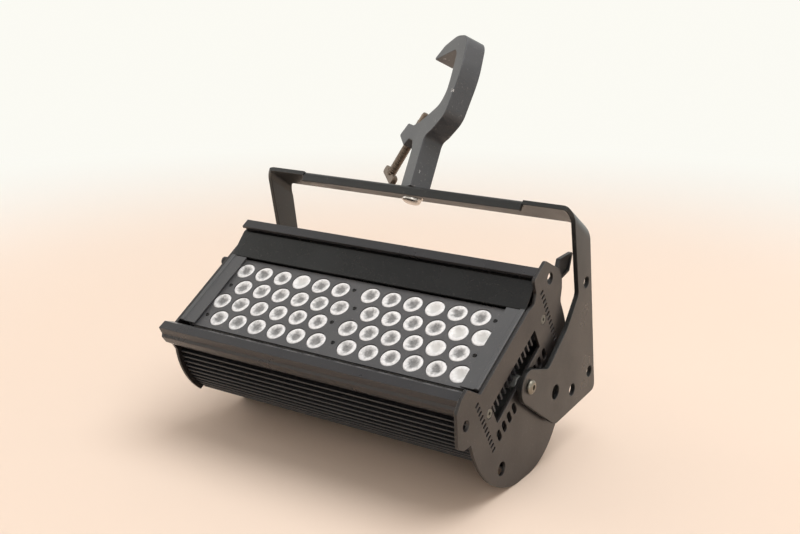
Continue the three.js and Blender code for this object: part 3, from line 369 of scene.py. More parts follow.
fin_count, fin_start, fin_end = 11, 69.3, 114.5
fin_tip, fin_root, fin_half, fin_rounding = 74.9, 66.2, 1.0, 0.8
fin_outline = rounded([
    (fin_root, -fin_half), (fin_tip, -fin_half, fin_rounding), (fin_tip, fin_half, fin_rounding),
    (fin_root, fin_half),
], 4)
for name, first, last in (("lower_fins", -fin_end, -fin_start), ("upper_fins", fin_start, fin_end)):
    fin = cut_from_sheet([fin_outline], -body_half, body_half, edge=0.2)
    fin.transform(section_along_x)
    fan_mesh = made_by(fins, fin, {
        "Count": fin_count, "First Angle": math.radians(first), "Last Angle": math.radians(last),
        "Centre Back": centre[0], "Centre Up": centre[1], "Coating": anodised,
    })
    fitted(name, fan_mesh, light, "fixture", "black_aluminium", [anodised])

plate_front, plate_back, plate_low, plate_high, chamfer = 14, 20, -58.5, 71.3, 3
wall_in, wall_out, wall_end_angle, rear_edge, rear_lip = 63, 67, 67.2, 79.5, 7.4
rear_angle = math.degrees(math.acos((rear_edge - centre[0]) / wall_in))
inner_angle = math.degrees(math.acos((plate_back - centre[0]) / wall_in))
outer_angle = math.degrees(math.acos((plate_front + chamfer - centre[0]) / wall_out))
for name, side in (("lower_wall", -1), ("upper_wall", 1)):
    wall = arc(centre, wall_out, side * outer_angle, side * wall_end_angle, 40)
    wall_end = wall[-1][1]
    wall += [(rear_edge, wall_end + side * rear_lip), (rear_edge, wall_end)]
    wall += arc(centre, wall_in, side * rear_angle, side * inner_angle, 40)
    wall_mesh = cut_from_sheet([wall], -body_half, body_half, edge=0.2)
    fitted(name, wall_mesh, along_light, "fixture", "black_aluminium", [anodised, anodised_edge])

rib_count, rib_pitch, rib_half, rib_tip = 15, 7, 1.2, plate_back + 17
base = [(plate_front, plate_low), (plate_front + chamfer, plate_low), (plate_back, plate_low + chamfer)]
for i in range(rib_count):
    rib = centre[1] + (i - rib_count // 2) * rib_pitch
    base += [(plate_back, rib - rib_half), (rib_tip, rib - rib_half)]
    base += [(rib_tip, rib + rib_half), (plate_back, rib + rib_half)]
base += [(plate_back, plate_high - chamfer), (plate_front + chamfer, plate_high), (plate_front, plate_high)]
base_mesh = cut_from_sheet([base], -body_half, body_half, edge=0.15)
for face in base_mesh.polygons:
    if abs(face.center.z) > body_half - 0.01:
        face.material_index = 2
fitted("base_plate", base_mesh, along_light, "fixture", "black_aluminium",
       [anodised, anodised_edge, cut_end], "heatsink_body")


# Rails: two bent aluminium extrusions along the face's top and bottom, hooked over the edges of the
# base plate. The lower one slopes to the lenses, the upper one holds the glare panel under its ledge.
rail_metal = coating("rail anodising", (0.022, 0.021, 0.023), 0.30, 1300, 0.06, cloud=0.10, dust=0.08)
rail_outside = [
    (-18, -71.39, 0.5), (-10.09, -71.7, 0.8), (-7.61, -74, 1.4), (0.61, -73, 2.1), (11.79, -66.71, 2.1),
    (16.4, -62.2, 0.4), (16.4, -58.8), (13.7, -58.8), (13.7, -51.6, 0.3), (11, -51.6, 0.3),
    (11, -63.61), (0.2, -69.91), (-6.51, -70.9), (-8.99, -68.7), (-15.21, -68.39),
]
slope = [(-15.21, -62.99, 0.3), (-7.1, -56.22, 0.3), (-8.99, -54.6, 0.5), (-17.59, -61.89, 0.8)]
ledge = [
    (-15.21, -66.19), (-8.61, -66.19, 0.3), (-8.61, -63.61, 0.3), (-15.21, -64.2), (-15.21, -61, 0.4),
    (-18, -61, 0.6),
]
bottom_section = rounded(rail_outside + slope, 4)
top_section = [(back, 2 * centre[1] - up) for back, up in rounded(rail_outside + ledge, 4)]
for name, section in (("bottom_rail", bottom_section), ("top_rail", top_section)):
    rail_mesh = cut_from_sheet([section], -body_half, body_half, edge=0.15)
    fitted(name + "_extrusion", rail_mesh, along_light, "fixture", "black_aluminium",
           [rail_metal, anodised_edge], name)


# Circuit boards: white aluminium-backed boards screwed to the base plate, with one emitter for each
# lens. The lens blocks stand on them and hide them.
board_white = coating("white board", (0.70, 0.71, 0.69), 0.4, 900, 0.05, cloud=0.04)


def repaint(finish, *names):
    """A frame piece keeps its shape and takes a finish."""
    for name in names:
        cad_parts[name].data.materials.clear()
        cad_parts[name].data.materials.append(finish)


repaint(board_white, "left_led_board", "right_led_board")


# Lenses: two blocks of clear moulded plastic, each with four staggered rows. Each lens has a frosted
# rim round a shallow dish, and stands in its hole in the mask. The finish is opaque, and draws the white
# rim as a colour and the dark middle as painted shade, the darkness seen through the clear plastic.
lens_rows, row_lenses, lens_pitch, row_pitch, row_stagger = 4, 6, 23.6, 21.2, 5.9
block_middle, block_size, block_depth = 76.2, (152, 92, 8.2), 6.5
lens_radius, dish_radius = 9.55, 5.7
front_view = Matrix(((1, 0, 0, 0), (0, 0, 1, 0), (0, 1, 0, 0), (0, 0, 0, 1)))
lens_profile = [
    (0, 1.95), (1.5, 1.9), (3.0, 1.7), (4.2, 1.4), (5.1, 1.05), (dish_radius, 0.8), (6.3, 0.55), (7.4, 0.4),
    (8.5, 0.45), (9.05, 0.75), (lens_radius, 1.3), (lens_radius, 4), (0, 4),
]

clear_plastic, tree, shader, place = new_finish("clear lens plastic")
reach_out = wire(tree, "ShaderNodeAttribute", attribute_name="reach").outputs["Fac"]
tone = wire(tree, "ShaderNodeAttribute", attribute_name="tone").outputs["Fac"]
flecks = noise(tree, place, scale=380, detail=3, roughness=0.65)
blotches = noise(tree, place, scale=240, detail=3)
wander = calc(tree, "MULTIPLY", calc(tree, "SUBTRACT", blotches, 0.5), 0.9)
edge_share = ranged(tree, calc(tree, "ADD", reach_out, wander), 0.28, 0.88, interpolation_type="SMOOTHSTEP")
# The dark middle, with its streaks, is painted shade: the darkness seen through the clear plastic.
middle_shade = blended(tree, flecks, (0.04, 0.04, 0.04, 1), (0.36, 0.36, 0.36, 1))
pale_share = calc(tree, "MULTIPLY", ranged(tree, tone, 0.86, 0.92), 0.75)
middle_tint = blended(tree, pale_share, middle_shade, (0.66, 0.66, 0.65, 1))
rim_tint = blended(tree, flecks, (0.55, 0.55, 0.56, 1), (1.0, 1.0, 1.0, 1))
tree.links.new(blended(tree, edge_share, middle_tint, rim_tint), shader.inputs["Base Color"])
shader.inputs["Roughness"].default_value = 0.34
ripple = result(tree, "ShaderNodeBump", {"Height": flecks, "Strength": 0.25, "Distance": 0.0006})
tree.links.new(ripple, shader.inputs["Normal"])

lens_field, size = recipe("staggered lenses", {
    "Rows": "Int", "Lenses In A Row": "Int", "Pitch": "Float", "Row Pitch": "Float", "Stagger": "Float",
    "Middle": "Float", "Seed": "Int", "Plastic": "Material",
})
index = result(lens_field, "GeometryNodeInputIndex")
row = calc(lens_field, "FLOOR", calc(lens_field, "DIVIDE", index, size["Lenses In A Row"]))
column = calc(lens_field, "MODULO", index, size["Lenses In A Row"])
middle_column = calc(lens_field, "MULTIPLY_ADD", size["Lenses In A Row"], 0.5, -0.5)
from_middle = calc(lens_field, "SUBTRACT", column, middle_column)
sideways = calc(lens_field, "MULTIPLY_ADD", calc(lens_field, "MODULO", row, 2.0), 2.0, -1.0)
row_middle = calc(lens_field, "MULTIPLY_ADD", sideways, size["Stagger"], size["Middle"])
along = calc(lens_field, "MULTIPLY_ADD", from_middle, size["Pitch"], row_middle)
rows_up = calc(lens_field, "SUBTRACT", calc(lens_field, "MULTIPLY_ADD", size["Rows"], 0.5, -0.5), row)
across = calc(lens_field, "MULTIPLY", rows_up, size["Row Pitch"])
spot = result(lens_field, "ShaderNodeCombineXYZ", {"X": along, "Y": across})
count = calc(lens_field, "MULTIPLY", size["Rows"], size["Lenses In A Row"])
spots = result(lens_field, "GeometryNodePoints", {"Count": count, "Position": spot})
any_turn = wire(lens_field, "FunctionNodeRandomValue", {
    2: 0.0, 3: 2 * math.pi, "Seed": size["Seed"],
}, data_type="FLOAT").outputs[1]
spin = result(lens_field, "ShaderNodeCombineXYZ", {"Z": any_turn})
lenses = result(lens_field, "GeometryNodeInstanceOnPoints", {
    "Points": spots, "Instance": size["Geometry"], "Rotation": spin,
})
any_tone = wire(lens_field, "FunctionNodeRandomValue", {
    2: 0.0, 3: 1.0, "Seed": calc(lens_field, "ADD", size["Seed"], 7.0),
}, data_type="FLOAT").outputs[1]
toned = result(lens_field, "GeometryNodeStoreNamedAttribute", {
    "Geometry": lenses, "Name": "tone", "Value": any_tone,
}, data_type="FLOAT", domain="INSTANCE")
close_recipe(lens_field, toned, size["Plastic"])

lens_places = []
for side_name, side in (("left", -1), ("right", 1)):
    middle = side * block_middle
    lens = turned(lens_profile, 32)
    reach = lens.attributes.new("reach", "FLOAT", "POINT")
    reach.data.foreach_set("value", [math.hypot(v.co.x, v.co.y) / lens_radius for v in lens.vertices])
    block = made_by(lens_field, lens, {
        "Rows": lens_rows, "Lenses In A Row": row_lenses, "Pitch": lens_pitch, "Row Pitch": row_pitch,
        "Stagger": row_stagger, "Middle": middle, "Seed": 5 + side, "Plastic": clear_plastic,
    })
    with shaping(block) as work:
        slab = bmesh.ops.create_cube(work, size=1)["verts"]
        bmesh.ops.scale(work, verts=slab, vec=block_size)
        bmesh.ops.translate(work, verts=slab, vec=(middle, 0, block_depth))
    fitted(side_name + "_lenses", block, light @ front_view, "fixture", "lens_clear", [clear_plastic],
           side_name + "_lens_block")
    for row in range(lens_rows):
        shift = row_stagger if row % 2 else -row_stagger
        up = ((lens_rows - 1) / 2 - row) * row_pitch
        for i in range(row_lenses):
            lens_places.append((middle + (i - (row_lenses - 1) / 2) * lens_pitch + shift, up))


# Mask: a thin dark sheet with a finely textured face and one hole for each lens, held by small black
# screws in the gaps at the ends of the staggered rows.
mask_face = coating("mask", (0.070, 0.070, 0.073), 0.38, 1100, 0.25, cloud=0.08, dust=0.3)
# The rims round the holes and along the sheet's edge are darker than the face: painted shade.
mask_rim_shade = coating("mask rim shade", (0.02, 0.02, 0.021), 0.5, 900, 0.1)
mask_half_length, mask_half_height, mask_hole = 153.5, 46, 9.8


def circle(u, v, radius, steps=32):
    """Points on a circle."""
    return arc((u, v), radius, 0, 360, steps)[:-1]


def rectangle(left, low, right, high, corner=0, steps=6):
    """A rectangle with rounded corners."""
    places = ((left, low), (right, low), (right, high), (left, high))
    return rounded([(*place, corner) for place in places], steps)


sheet = [rectangle(-mask_half_length, -mask_half_height, mask_half_length, mask_half_height)]
sheet += [circle(x, up, mask_hole) for x, up in lens_places]
fitted("mask_sheet", cut_from_sheet(sheet, 0.02, 1.5), light @ front_view, "fixture", "mask_black",
       [mask_face, mask_rim_shade], "lens_mask")

screw_heads, size = recipe("screw heads on points", {
    "Head Radius": "Float", "Head Height": "Float", "Socket Radius": "Float", "Metal": "Material",
})
top_radius = calc(screw_heads, "MULTIPLY", size["Head Radius"], 0.72)
dome = result(screw_heads, "GeometryNodeMeshCone", {
    "Vertices": 20, "Side Segments": 1, "Radius Top": top_radius, "Radius Bottom": size["Head Radius"],
    "Depth": size["Head Height"],
})
well_depth = calc(screw_heads, "MULTIPLY", size["Head Height"], 1.4)
well = result(screw_heads, "GeometryNodeMeshCylinder", {
    "Vertices": 6, "Radius": size["Socket Radius"], "Depth": well_depth,
})
well_place = result(screw_heads, "ShaderNodeCombineXYZ", {"Z": size["Head Height"]})
well = result(screw_heads, "GeometryNodeTransform", {"Geometry": well, "Translation": well_place})
head = result(screw_heads, "GeometryNodeMeshBoolean", {0: dome, 1: well}, operation="DIFFERENCE")
heads = result(screw_heads, "GeometryNodeInstanceOnPoints", {"Points": size["Geometry"], "Instance": head})
close_recipe(screw_heads, heads, size["Metal"])


black_screw = coating("blackened screw", (0.02, 0.02, 0.02), 0.3, 600, 0.05, metallic=0.6)


def heads_at(places, radius, height, socket_radius):
    """Blackened screw heads standing up from z = 0 at these places."""
    points = bpy.data.meshes.new("places")
    points.from_pydata([(u, v, 0) for u, v in places], [], [])
    return made_by(screw_heads, points, {
        "Head Radius": radius, "Head Height": height, "Socket Radius": socket_radius, "Metal": black_screw,
    })


facing_out = Matrix(((1, 0, 0, 0), (0, 0, -1, 0), (0, 1, 0, 0), (0, 0, 0, 1)))
mask_screw_places = [
    (-8, 34), (5, 13), (-8, -8), (7, -30), (144.5, 31), (144.5, -10), (-144.5, 10), (-144.5, -31),
]
fitted("mask_screws", heads_at(mask_screw_places, 2.1, 0.8, 1.0), light @ facing_out, "fixture",
       "mask_black", [black_screw])


# Glare panel: a bent black sheet that leans back from the upper rail to the lenses, and turns in along
# a ledge to the base plate.
glare_black = coating("glare panel", (0.008, 0.008, 0.008), 0.26, 1200, 0.04, cloud=0.1, dust=0.1, mirror=0.4)
glare_section = rounded([
    (-11.7, 73.1, 0.4), (-3.5, 46.6, 0.4), (-1.7, 46.6, 0.4), (-2.57, 49.4), (13.7, 49.4), (13.7, 51.2),
    (-3.12, 51.2), (-9.9, 73.1), (-9.9, 76.1), (-11.34, 76.1), (-11.34, 73.1),
], 3)
fitted("glare_sheet", cut_from_sheet([glare_section], -body_half, body_half, edge=0.15),
       along_light, "fixture", "black_aluminium", [glare_black, anodised_edge], "glare_panel")


# Cheeks: grey painted sheets that cover the ends of the mask. Each has a raised strip along its outer
# edge and a leg that stands on the base plate.
cheek_paint = coating("cheek paint", (0.066, 0.067, 0.070), 0.36, 1000, 0.08, cloud=0.08, dust=0.15)
cheek_edge = worn("cheek edge", (0.11, 0.11, 0.115), (0.5, 0.5, 0.5), 0.02)
cheek_low, cheek_high = -46, 46.3
cheek_section = rounded([
    (149, -1.5), (149, -3, 0.3), (162.4, -3, 0.5), (163, -4.3, 0.5), (167.2, -4.3, 0.6), (167.2, -1.5),
    (157.5, -1.5), (157.5, 13.7), (156, 13.7), (156, -1.5),
], 4)
for side_name, side in (("left", -1), ("right", 1)):
    section = [(side * x, back) for x, back in cheek_section]
    fitted(side_name + "_cheek", cut_from_sheet([section], cheek_low, cheek_high), light, "fixture",
           "cheek_grey", [cheek_paint, cheek_edge], side_name + "_cheek_panel")


# End plates: two painted steel plates close the extrusion. The right one has two ears to hang things
# from, a tall vent window and rows of vent holes. The left one follows the fins.
plate_paint = coating("plate paint", (0.017, 0.0145, 0.014), 0.34, 1100, 0.10, dust=0.14)
plate_edge = worn("plate edge", (0.05, 0.044, 0.040), (0.55, 0.53, 0.50), 0.14)
plate_inside, plate_outside = 167.5, 170.5
plate_screw_places = {"upper": (26, 63.98), "lower": (24.99, -47.02)}
thumb_screw_place = (3, 41)
arc_radius, upper_arc_centre, lower_arc_centre = 102, (46.5, -4.7), (46.5, 17.5)
back_arc_centre, back_arc_radius = (87.007, 6.4), 60
oval_count, oval_pitch, small_slot_count, small_slot_pitch = 4, 10.2, 12, 5.4


def slot(u, v, along_u, along_v):
    """A slot with round ends, its middle at (u, v)."""
    a, b = along_u / 2, along_v / 2
    return rectangle(u - a, v - b, u + a, v + b, min(a, b), 5)


right_outline = rounded([
    (-2.55, -48.99), (-23.97, -62.04, 3.06), (-23.97, -72.96, 4.08), (-18.97, -83.97, 4.08),
    (10, -98.05, 6.12), (19.48, -91.01, 3.06),
    *arc(lower_arc_centre, arc_radius, -102.75, -37.56, 30),
    *arc(lower_arc_centre, arc_radius, -24.12, -15.32, 4),
    *arc(back_arc_centre, back_arc_radius, -15.32, 15.32, 12)[1:],
    *arc(upper_arc_centre, arc_radius, 15.32, 89.18, 34)[1:],
    (36.01, 97.49, 9.18), (27.03, 105.54, 3.06), (19.99, 109.01, 5.1), (6.02, 109.01, 6.12),
    (-19.99, 91.98, 5.1), (-19.99, 66.99, 4.08), (-6.02, 64.54, 4.08), (0, 56.99, 3.06), (-2.55, 47),
])
pivot_hole = circle(*centre, 4.3)
screw_holes = [circle(*spot, 4.7) for spot in plate_screw_places.values()]
vent_window = rectangle(22, -42, 44, 47, 1)
ear_holes = [circle(1.02, 90.96, 5.5), circle(2.04, -78.97, 5), circle(89.05, -57.04, 6.5)]
right_holes = [vent_window, *ear_holes, pivot_hole, *screw_holes]
for i in range(oval_count):
    right_holes += [slot(57, 50 - oval_pitch * i, 12, 6), slot(57, -45 + oval_pitch * i, 12, 6)]
for i in range(small_slot_count):
    right_holes += [slot(1 + small_slot_pitch * i, up, 2.5, 6) for up in (73, -58)]
right_plate = cut_from_sheet([right_outline, *right_holes], plate_inside, plate_outside, edge=0.35)
fitted("right_plate", right_plate, along_light, "fixture", "brown_paint",
       [plate_paint, plate_edge], "right_end_plate")

left_lower = [(-4.03, -71.02, 1.5), (3.48, -71.02, 1.5), (11.77, -66.67), *arc(centre, 79, -113, -68.7, 24)]
left_upper = [(corner[0], 2 * centre[1] - corner[1], *corner[2:]) for corner in reversed(left_lower)]
left_loops = [rounded(left_lower + left_upper), pivot_hole, circle(*thumb_screw_place, 2.7), *screw_holes]
left_plate = cut_from_sheet(left_loops, -plate_outside, -plate_inside, edge=0.35)
fitted("left_plate", left_plate, along_light, "fixture", "brown_paint",
       [plate_paint, plate_edge], "left_end_plate")


# Latch: a black moulded lever on a steel pin inside the right plate's upper ear. It swings up to hold
# an accessory in the slot, and has a raised border round its tab.
latch_black = coating("latch plastic", (0.018, 0.018, 0.019), 0.42, 900, 0.15, dust=0.15)
pin_steel = coating("dark pin steel", (0.10, 0.095, 0.09), 0.3, 500, 0.05, metallic=0.9)
latch_pin_place = (17.34, 98.2)
latch_inside, latch_outside = 161.9, 165.9


def carved(mesh, *cutters):
    """The mesh with the cutters taken out of it."""
    holder = bpy.data.objects.new("holder", mesh)
    tools = []
    for cutter in cutters:
        tool = bpy.data.objects.new("cutter", cutter)
        scene.collection.objects.link(tool)
        cut = holder.modifiers.new("cut", "BOOLEAN")
        cut.operation = "DIFFERENCE"
        cut.solver = "EXACT"
        cut.object = tool
        tools.append(tool)
    mesh = plain_mesh(holder)
    for tool in tools:
        bpy.data.objects.remove(tool)
    return mesh


lever_outline = rounded([
    (12.84, 113.2, 1), (6.84, 121.2, 1.5), (20.34, 145.7, 2.5), (31.84, 131.2, 2.5), (27.34, 116.7, 2.5),
    (21.84, 111.2, 1), *arc(latch_pin_place, 4.6, 0, -180, 12),
])
lever = cut_from_sheet([lever_outline, circle(*latch_pin_place, 2.7)], latch_inside, latch_outside, edge=0.4)
hollow_outline = rounded([
    (10, 121.2, 1), (20.3, 141, 1.5), (28.5, 131, 1.5), (24.5, 118.5, 1.5), (16, 115.5, 1),
])
hollow = cut_from_sheet([hollow_outline], 165, 167, edge=0.2)
fitted("latch_lever", carved(lever, hollow), along_light, "latch", "black_plastic",
       [latch_black], "accessory_latch")
rivet_profile = [
    (0, 159.6), (4, 159.6), (4.4, 160), (4.4, 161.2), (4, 161.6), (2.4, 161.6), (2.4, 167.2), (0, 167.2),
]
rivet_way = along_light @ Matrix.Translation((*latch_pin_place, 0))
fitted("latch_rivet", turned(rivet_profile, 32), rivet_way, "fixture", "dark_steel", [pin_steel], "latch_pin")


# Thumb screw: a black moulded knob on the left plate, knurled round its edge for the fingers. Its steel
# shank goes through the plate and turns in it.
facing_left = Matrix.Rotation(math.pi, 4, "Y")
knurls, knurl_peak, knurl_valley = 28, 4.6, 4.2
grip = []
for k in range(2 * knurls):
    ring = knurl_peak if k % 2 else knurl_valley
    grip.append((ring * math.cos(k * math.pi / knurls), ring * math.sin(k * math.pi / knurls)))


def merged(*meshes):
    """One mesh made of several."""
    whole = bpy.data.meshes.new("whole")
    with shaping(whole) as work:
        for mesh in meshes:
            work.from_mesh(mesh)
    return whole


knob = cut_from_sheet([grip], 172.5, 178.5, edge=0.35)
shank = turned([(0, 159.5), (2, 159.5), (2.4, 159.9), (2.4, 173), (0, 173)], 24)
knob_way = along_light @ Matrix.Translation((*thumb_screw_place, 0)) @ facing_left
fitted("thumb_knob", merged(knob, shank), knob_way, "thumb_screw", "black_plastic",
       [latch_black, latch_black], "thumb_screw")


# Plate screws: countersunk steel screws with hexagon sockets, dulled and faintly green with age. Two of
# them hold each end plate to the extrusion.
dull_screw = coating("dulled screw", (0.16, 0.165, 0.15), 0.38, 700, 0.08, metallic=0.85, dust=0.3)
screw_up, head_radius, shank_radius, socket_radius = 170.4, 4.5, 2.25, 1.7
screw_profile = [
    (0, screw_up - 9), (shank_radius, screw_up - 9), (shank_radius, screw_up - 2.4),
    (head_radius - 0.1, screw_up - 0.3), (head_radius - 0.25, screw_up), (0, screw_up),
]
socket_profile = [
    (0, screw_up - 1.5), (socket_radius, screw_up - 1.5), (socket_radius, screw_up + 1), (0, screw_up + 1),
]
for side_name, side_way in (("left", facing_left), ("right", Matrix.Identity(4))):
    for height_name, spot in plate_screw_places.items():
        screw = carved(turned(screw_profile, 36), turned(socket_profile, 6))
        way = along_light @ (Matrix.Translation((*spot, 0)) @ side_way)
        fitted(f"{side_name}_{height_name}_screw", screw, way, "fixture", "bare_steel", [dull_screw],
               f"{side_name}_{height_name}_plate_screw")


# Electronics: a zinc-plated plate behind the fins' duct carries the power supply in its ribbed case and
# the green driver board. Little of it is seen, and only through the openings.
zinc = coating("zinc plate", (0.42, 0.42, 0.40), 0.42, 260, 0.1, cloud=0.2, metallic=0.85)
board_green = coating("board lacquer", (0.02, 0.12, 0.05), 0.35, 500, 0.1, cloud=0.2)
repaint(zinc, "chassis_plate", "power_supply")
repaint(board_green, "driver_board", "control_board")


# Rear cover: bent from one painted steel sheet. Its foot lies on the floor, its rear wall stands upright
# and has the openings for the panel and the sockets. A flat cap closes its left end.
upright = light_stand @ millimetres
cover_paint = coating("cover paint", (0.030, 0.027, 0.025), 0.38, 1100, 0.12, cloud=0.10, dust=0.12)
cover_outside = [
    (-10.45, -101.86), (45.96, -132.25, 2.5), (51.96, -132.25, 2.5), (102.77, -101.92, 4),
    (105.61, -96.63, 4), (105.61, -32.56, 2),
]
cover_inside = [
    (97.03, -37.69), (97.85, -39.06), (104.01, -35.38, 0.8), (104.01, -96.23, 3), (101.57, -100.77, 3),
    (51.51, -130.65, 1.5), (46.36, -130.65, 1.5), (-7.21, -101.79), (-1.04, -98.11), (-1.86, -96.73),
]
cover_right, cap_inside, cap_outside, cover_left = 167.2, -165.6, -167.2, -165.3
facing_back = Matrix(((-1, 0, 0, 0), (0, 0, 1, 0), (0, 1, 0, 0), (0, 0, 0, 1)))
panel_up = -64.6
cut_from, cut_to = 95, 115
socket_places = {"power_inlet": -138, "power_outlet": -104, "data_in": 104, "data_out": 138}
opening_loops = [rectangle(-51, panel_up - 18, 51, panel_up + 18, 2)]
opening_loops += [circle(-x, panel_up, 11.8, 40) for x in socket_places.values()]
openings = [cut_from_sheet([loop], cut_from, cut_to, edge=0.2) for loop in opening_loops]
for opening in openings:
    opening.transform(facing_back)
cover = cut_from_sheet([rounded(cover_outside + cover_inside, 4)], cover_left, cover_right)
cover.transform(section_along_x)
fitted("cover_sheet", carved(cover, *openings), upright, "fixture", "brown_paint", [cover_paint, plate_edge],
       "rear_cover")
cap = cut_from_sheet([rounded(cover_outside, 4)], cap_outside, cap_inside)
fitted("cover_cap", cap, upright @ section_along_x, "fixture", "brown_paint", [cover_paint, plate_edge],
       "left_end_cap")


# Control panel: a black moulded plate on the rear wall with a dark display window sunk into it and four
# sprung keys beside it.
panel_black = coating("panel plastic", (0.022, 0.022, 0.023), 0.46, 1000, 0.2, dust=0.1)
display_glass = coating("display glass", (0.008, 0.012, 0.014), 0.12, 60, 0.02, cloud=0.3)
key_grey = coating("key plastic", (0.20, 0.20, 0.20), 0.45, 900, 0.15, dust=0.1)
key_places = {1: (25, -56.6), 2: (41, -56.6), 3: (25, -72.6), 4: (41, -72.6)}
panel_back, panel_face = 105.91, 108.51
from_behind = upright @ facing_back


def on_panel(left, right, half_height, corner):
    """A rounded rectangle about the panel's height, from left to right on the light."""
    return rectangle(-right, panel_up - half_height, -left, panel_up + half_height, corner)


key_holes = [circle(-x, up, 4.3) for x, up in key_places.values()]
panel = cut_from_sheet([on_panel(-56, 56, 23, 4), *key_holes], panel_back, panel_face, edge=0.5)
sunk = cut_from_sheet([on_panel(-48.3, 12.3, 12.3, 1.2)], 106.71, 110, edge=0.1)
through = cut_from_sheet([on_panel(-45, 9, 9, 1)], 104, 110, edge=0.1)
fitted("panel_plate", carved(panel, sunk, through), from_behind, "fixture", "black_plastic",
       [panel_black, panel_black], "control_panel")
pane = cut_from_sheet([on_panel(-48, 12, 12, 1)], 107.01, panel_face, edge=0.25)
fitted("display_pane", pane, from_behind, "fixture", "dark_glass", [display_glass, display_glass],
       "display_window")
panel_screw_places = [(x, panel_up + up) for x in (-52.5, 52.5) for up in (-19.5, 19.5)]
panel_screws = heads_at(panel_screw_places, 1.8, 0.7, 0.9)
fitted("panel_screws", panel_screws, from_behind @ Matrix.Translation((0, 0, 108.3)), "fixture",
       "black_plastic", [black_screw])
key_profile = [
    (0, 104.61), (5.1, 104.61), (5.4, 104.9), (5.4, 105.61), (4, 105.61), (4, 109.4), (3.8, 109.9),
    (3.3, 110.11), (2.2, 109.95), (0, 109.8),
]
for number, (x, up) in key_places.items():
    fitted(f"key_{number}", turned(key_profile, 36), from_behind @ Matrix.Translation((-x, up, 0)),
           f"menu_button_{number}", "button_grey", [key_grey], f"menu_button_{number}")


# Sockets: two for power and two for data, in a row along the rear wall. Each has a flange with two
# screws and a round barrel; the last one shows a face with three pin holes.
socket_black = coating("socket moulding", (0.016, 0.016, 0.017), 0.4, 900, 0.15)
pin_brass = coating("plated pin", (0.62, 0.52, 0.30), 0.25, 400, 0.03, metallic=1.0)
barrel_outside = [(0, 85.61), (11, 85.61), (11.5, 86.1), (11.5, 106.1)]
open_barrel = barrel_outside + [(9.2, 106.1), (9.2, 92.91), (0, 92.91)]
filled_barrel = barrel_outside + [(9.3, 106.1), (8.9, 107.4), (0, 107.4)]
pin_profile = [(0, 92.5), (1.3, 92.5), (1.3, 99.3), (0.9, 99.9), (0, 99.9)]
pin_hole_profile = [(0, 99), (1.6, 99), (1.6, 109), (0, 109)]
pin_circle_radius = 5


def three_of(profile):
    """Three turned pieces on the circle where a plug's pins go."""
    pieces = []
    for angle in (math.radians(degrees) for degrees in (-90, 30, 150)):
        pieces.append(turned(profile, 20))
        spot = (pin_circle_radius * math.cos(angle), pin_circle_radius * math.sin(angle), 0)
        pieces[-1].transform(Matrix.Translation(spot))
    return pieces


for name, x in socket_places.items():
    flange_loops = [rectangle(-13, -15.5, 13, 15.5, 3), circle(0, 0, 9.2, 40)]
    flange = cut_from_sheet(flange_loops, panel_back, 107.91, edge=0.4)
    finishes = [socket_black, socket_black]
    if name == "data_out":
        pieces = [flange, carved(turned(filled_barrel), *three_of(pin_hole_profile))]
    else:
        pins = three_of(pin_profile)
        for face in (face for pin in pins for face in pin.polygons):
            face.material_index = 2
        pieces = [flange, turned(open_barrel), *pins]
        finishes.append(pin_brass)
    fitted(name + "_socket", merged(*pieces), from_behind @ Matrix.Translation((-x, panel_up, 0)), "fixture",
           "black_plastic", finishes, name)
flange_screw_places = [
    (-x + right, panel_up + up) for x in socket_places.values() for right, up in ((9.5, 12), (-9.5, -12))
]
flange_screws = heads_at(flange_screw_places, 1.9, 0.8, 0.9)
fitted("socket_screws", flange_screws, from_behind @ Matrix.Translation((0, 0, 107.75)), "fixture",
       "black_plastic", [black_screw])


# Yoke: one steel strip, cut flat and then bent into a bar with two arms that slant back, drilled with
# four holes each. The bar's front edge is folded down. It turns on the pivot bolts.
yoke = light @ Matrix.Translation((0, *centre)) @ Matrix.Rotation(math.radians(26.2), 4, "X")
yoke_paint = coating("yoke paint", (0.013, 0.013, 0.0125), 0.32, 1100, 0.10, dust=0.12)
yoke_edge = worn("yoke edge", (0.04, 0.037, 0.034), (0.62, 0.60, 0.57), 0.20)
bar_height, strip_thickness, bend_radius, bend_start, bend_steps = 164.2, 4.5, 11, 167, 10
bend_end = bend_start + bend_radius * math.pi / 2
bend_low = bar_height - bend_radius
fold_start, fold_radius, fold_steps, fold_half_length = -10.4, 5, 6, 126
fold_end = fold_start - fold_radius * math.pi / 2
lip_edge = fold_end - 5.4
arm_end_radius = 15.5


def on_arm(across, up, *rounding):
    """A place on the arm, as it lies in the flat strip."""
    return (bend_end + bend_low - up, across, *rounding)


half_strip = [
    (fold_half_length, lip_edge, 1.5), (fold_half_length, fold_start), (126.6, fold_start), (126.6, -15.4),
    (172.8, -15.4), (bend_end, -4.5), on_arm(46.3, 101.48, 8.21), on_arm(43.02, 66.01, 49.26),
    on_arm(27.26, 23.97, 8.21),
]
for angle in (math.radians(degrees) for degrees in range(110, 271, 10)):
    half_strip.append(on_arm(arm_end_radius * math.cos(angle), arm_end_radius * math.sin(angle)))
half_strip += [
    on_arm(76.02, -17.08, 16.42), on_arm(145.48, 36.45, 7.39), (bend_end, 37.86), (161.9, 16.6),
]
strip = rounded(half_strip + [(-corner[0], *corner[1:]) for corner in reversed(half_strip)], 8)
clamp_hole = circle(0, 0.6, 6.4)
arm_holes = [
    (0, 0, 4.3), (56.32, 9.52, 7.06), (92.12, 20.85, 6.08), (120.52, 46.96, 5.58), (55.66, 116.75, 5.58),
]
loops = [strip, clamp_hole]
for across, up, radius in arm_holes:
    along = on_arm(across, up)[0]
    loops += [circle(along, across, radius), circle(-along, across, radius)]
strip_mesh = cut_from_sheet(loops, -strip_thickness, 0, edge=0.5)
bends = [bend_start + (bend_end - bend_start) * k / bend_steps for k in range(bend_steps + 1)]
folds = [fold_start + (fold_end - fold_start) * k / fold_steps for k in range(fold_steps + 1)]
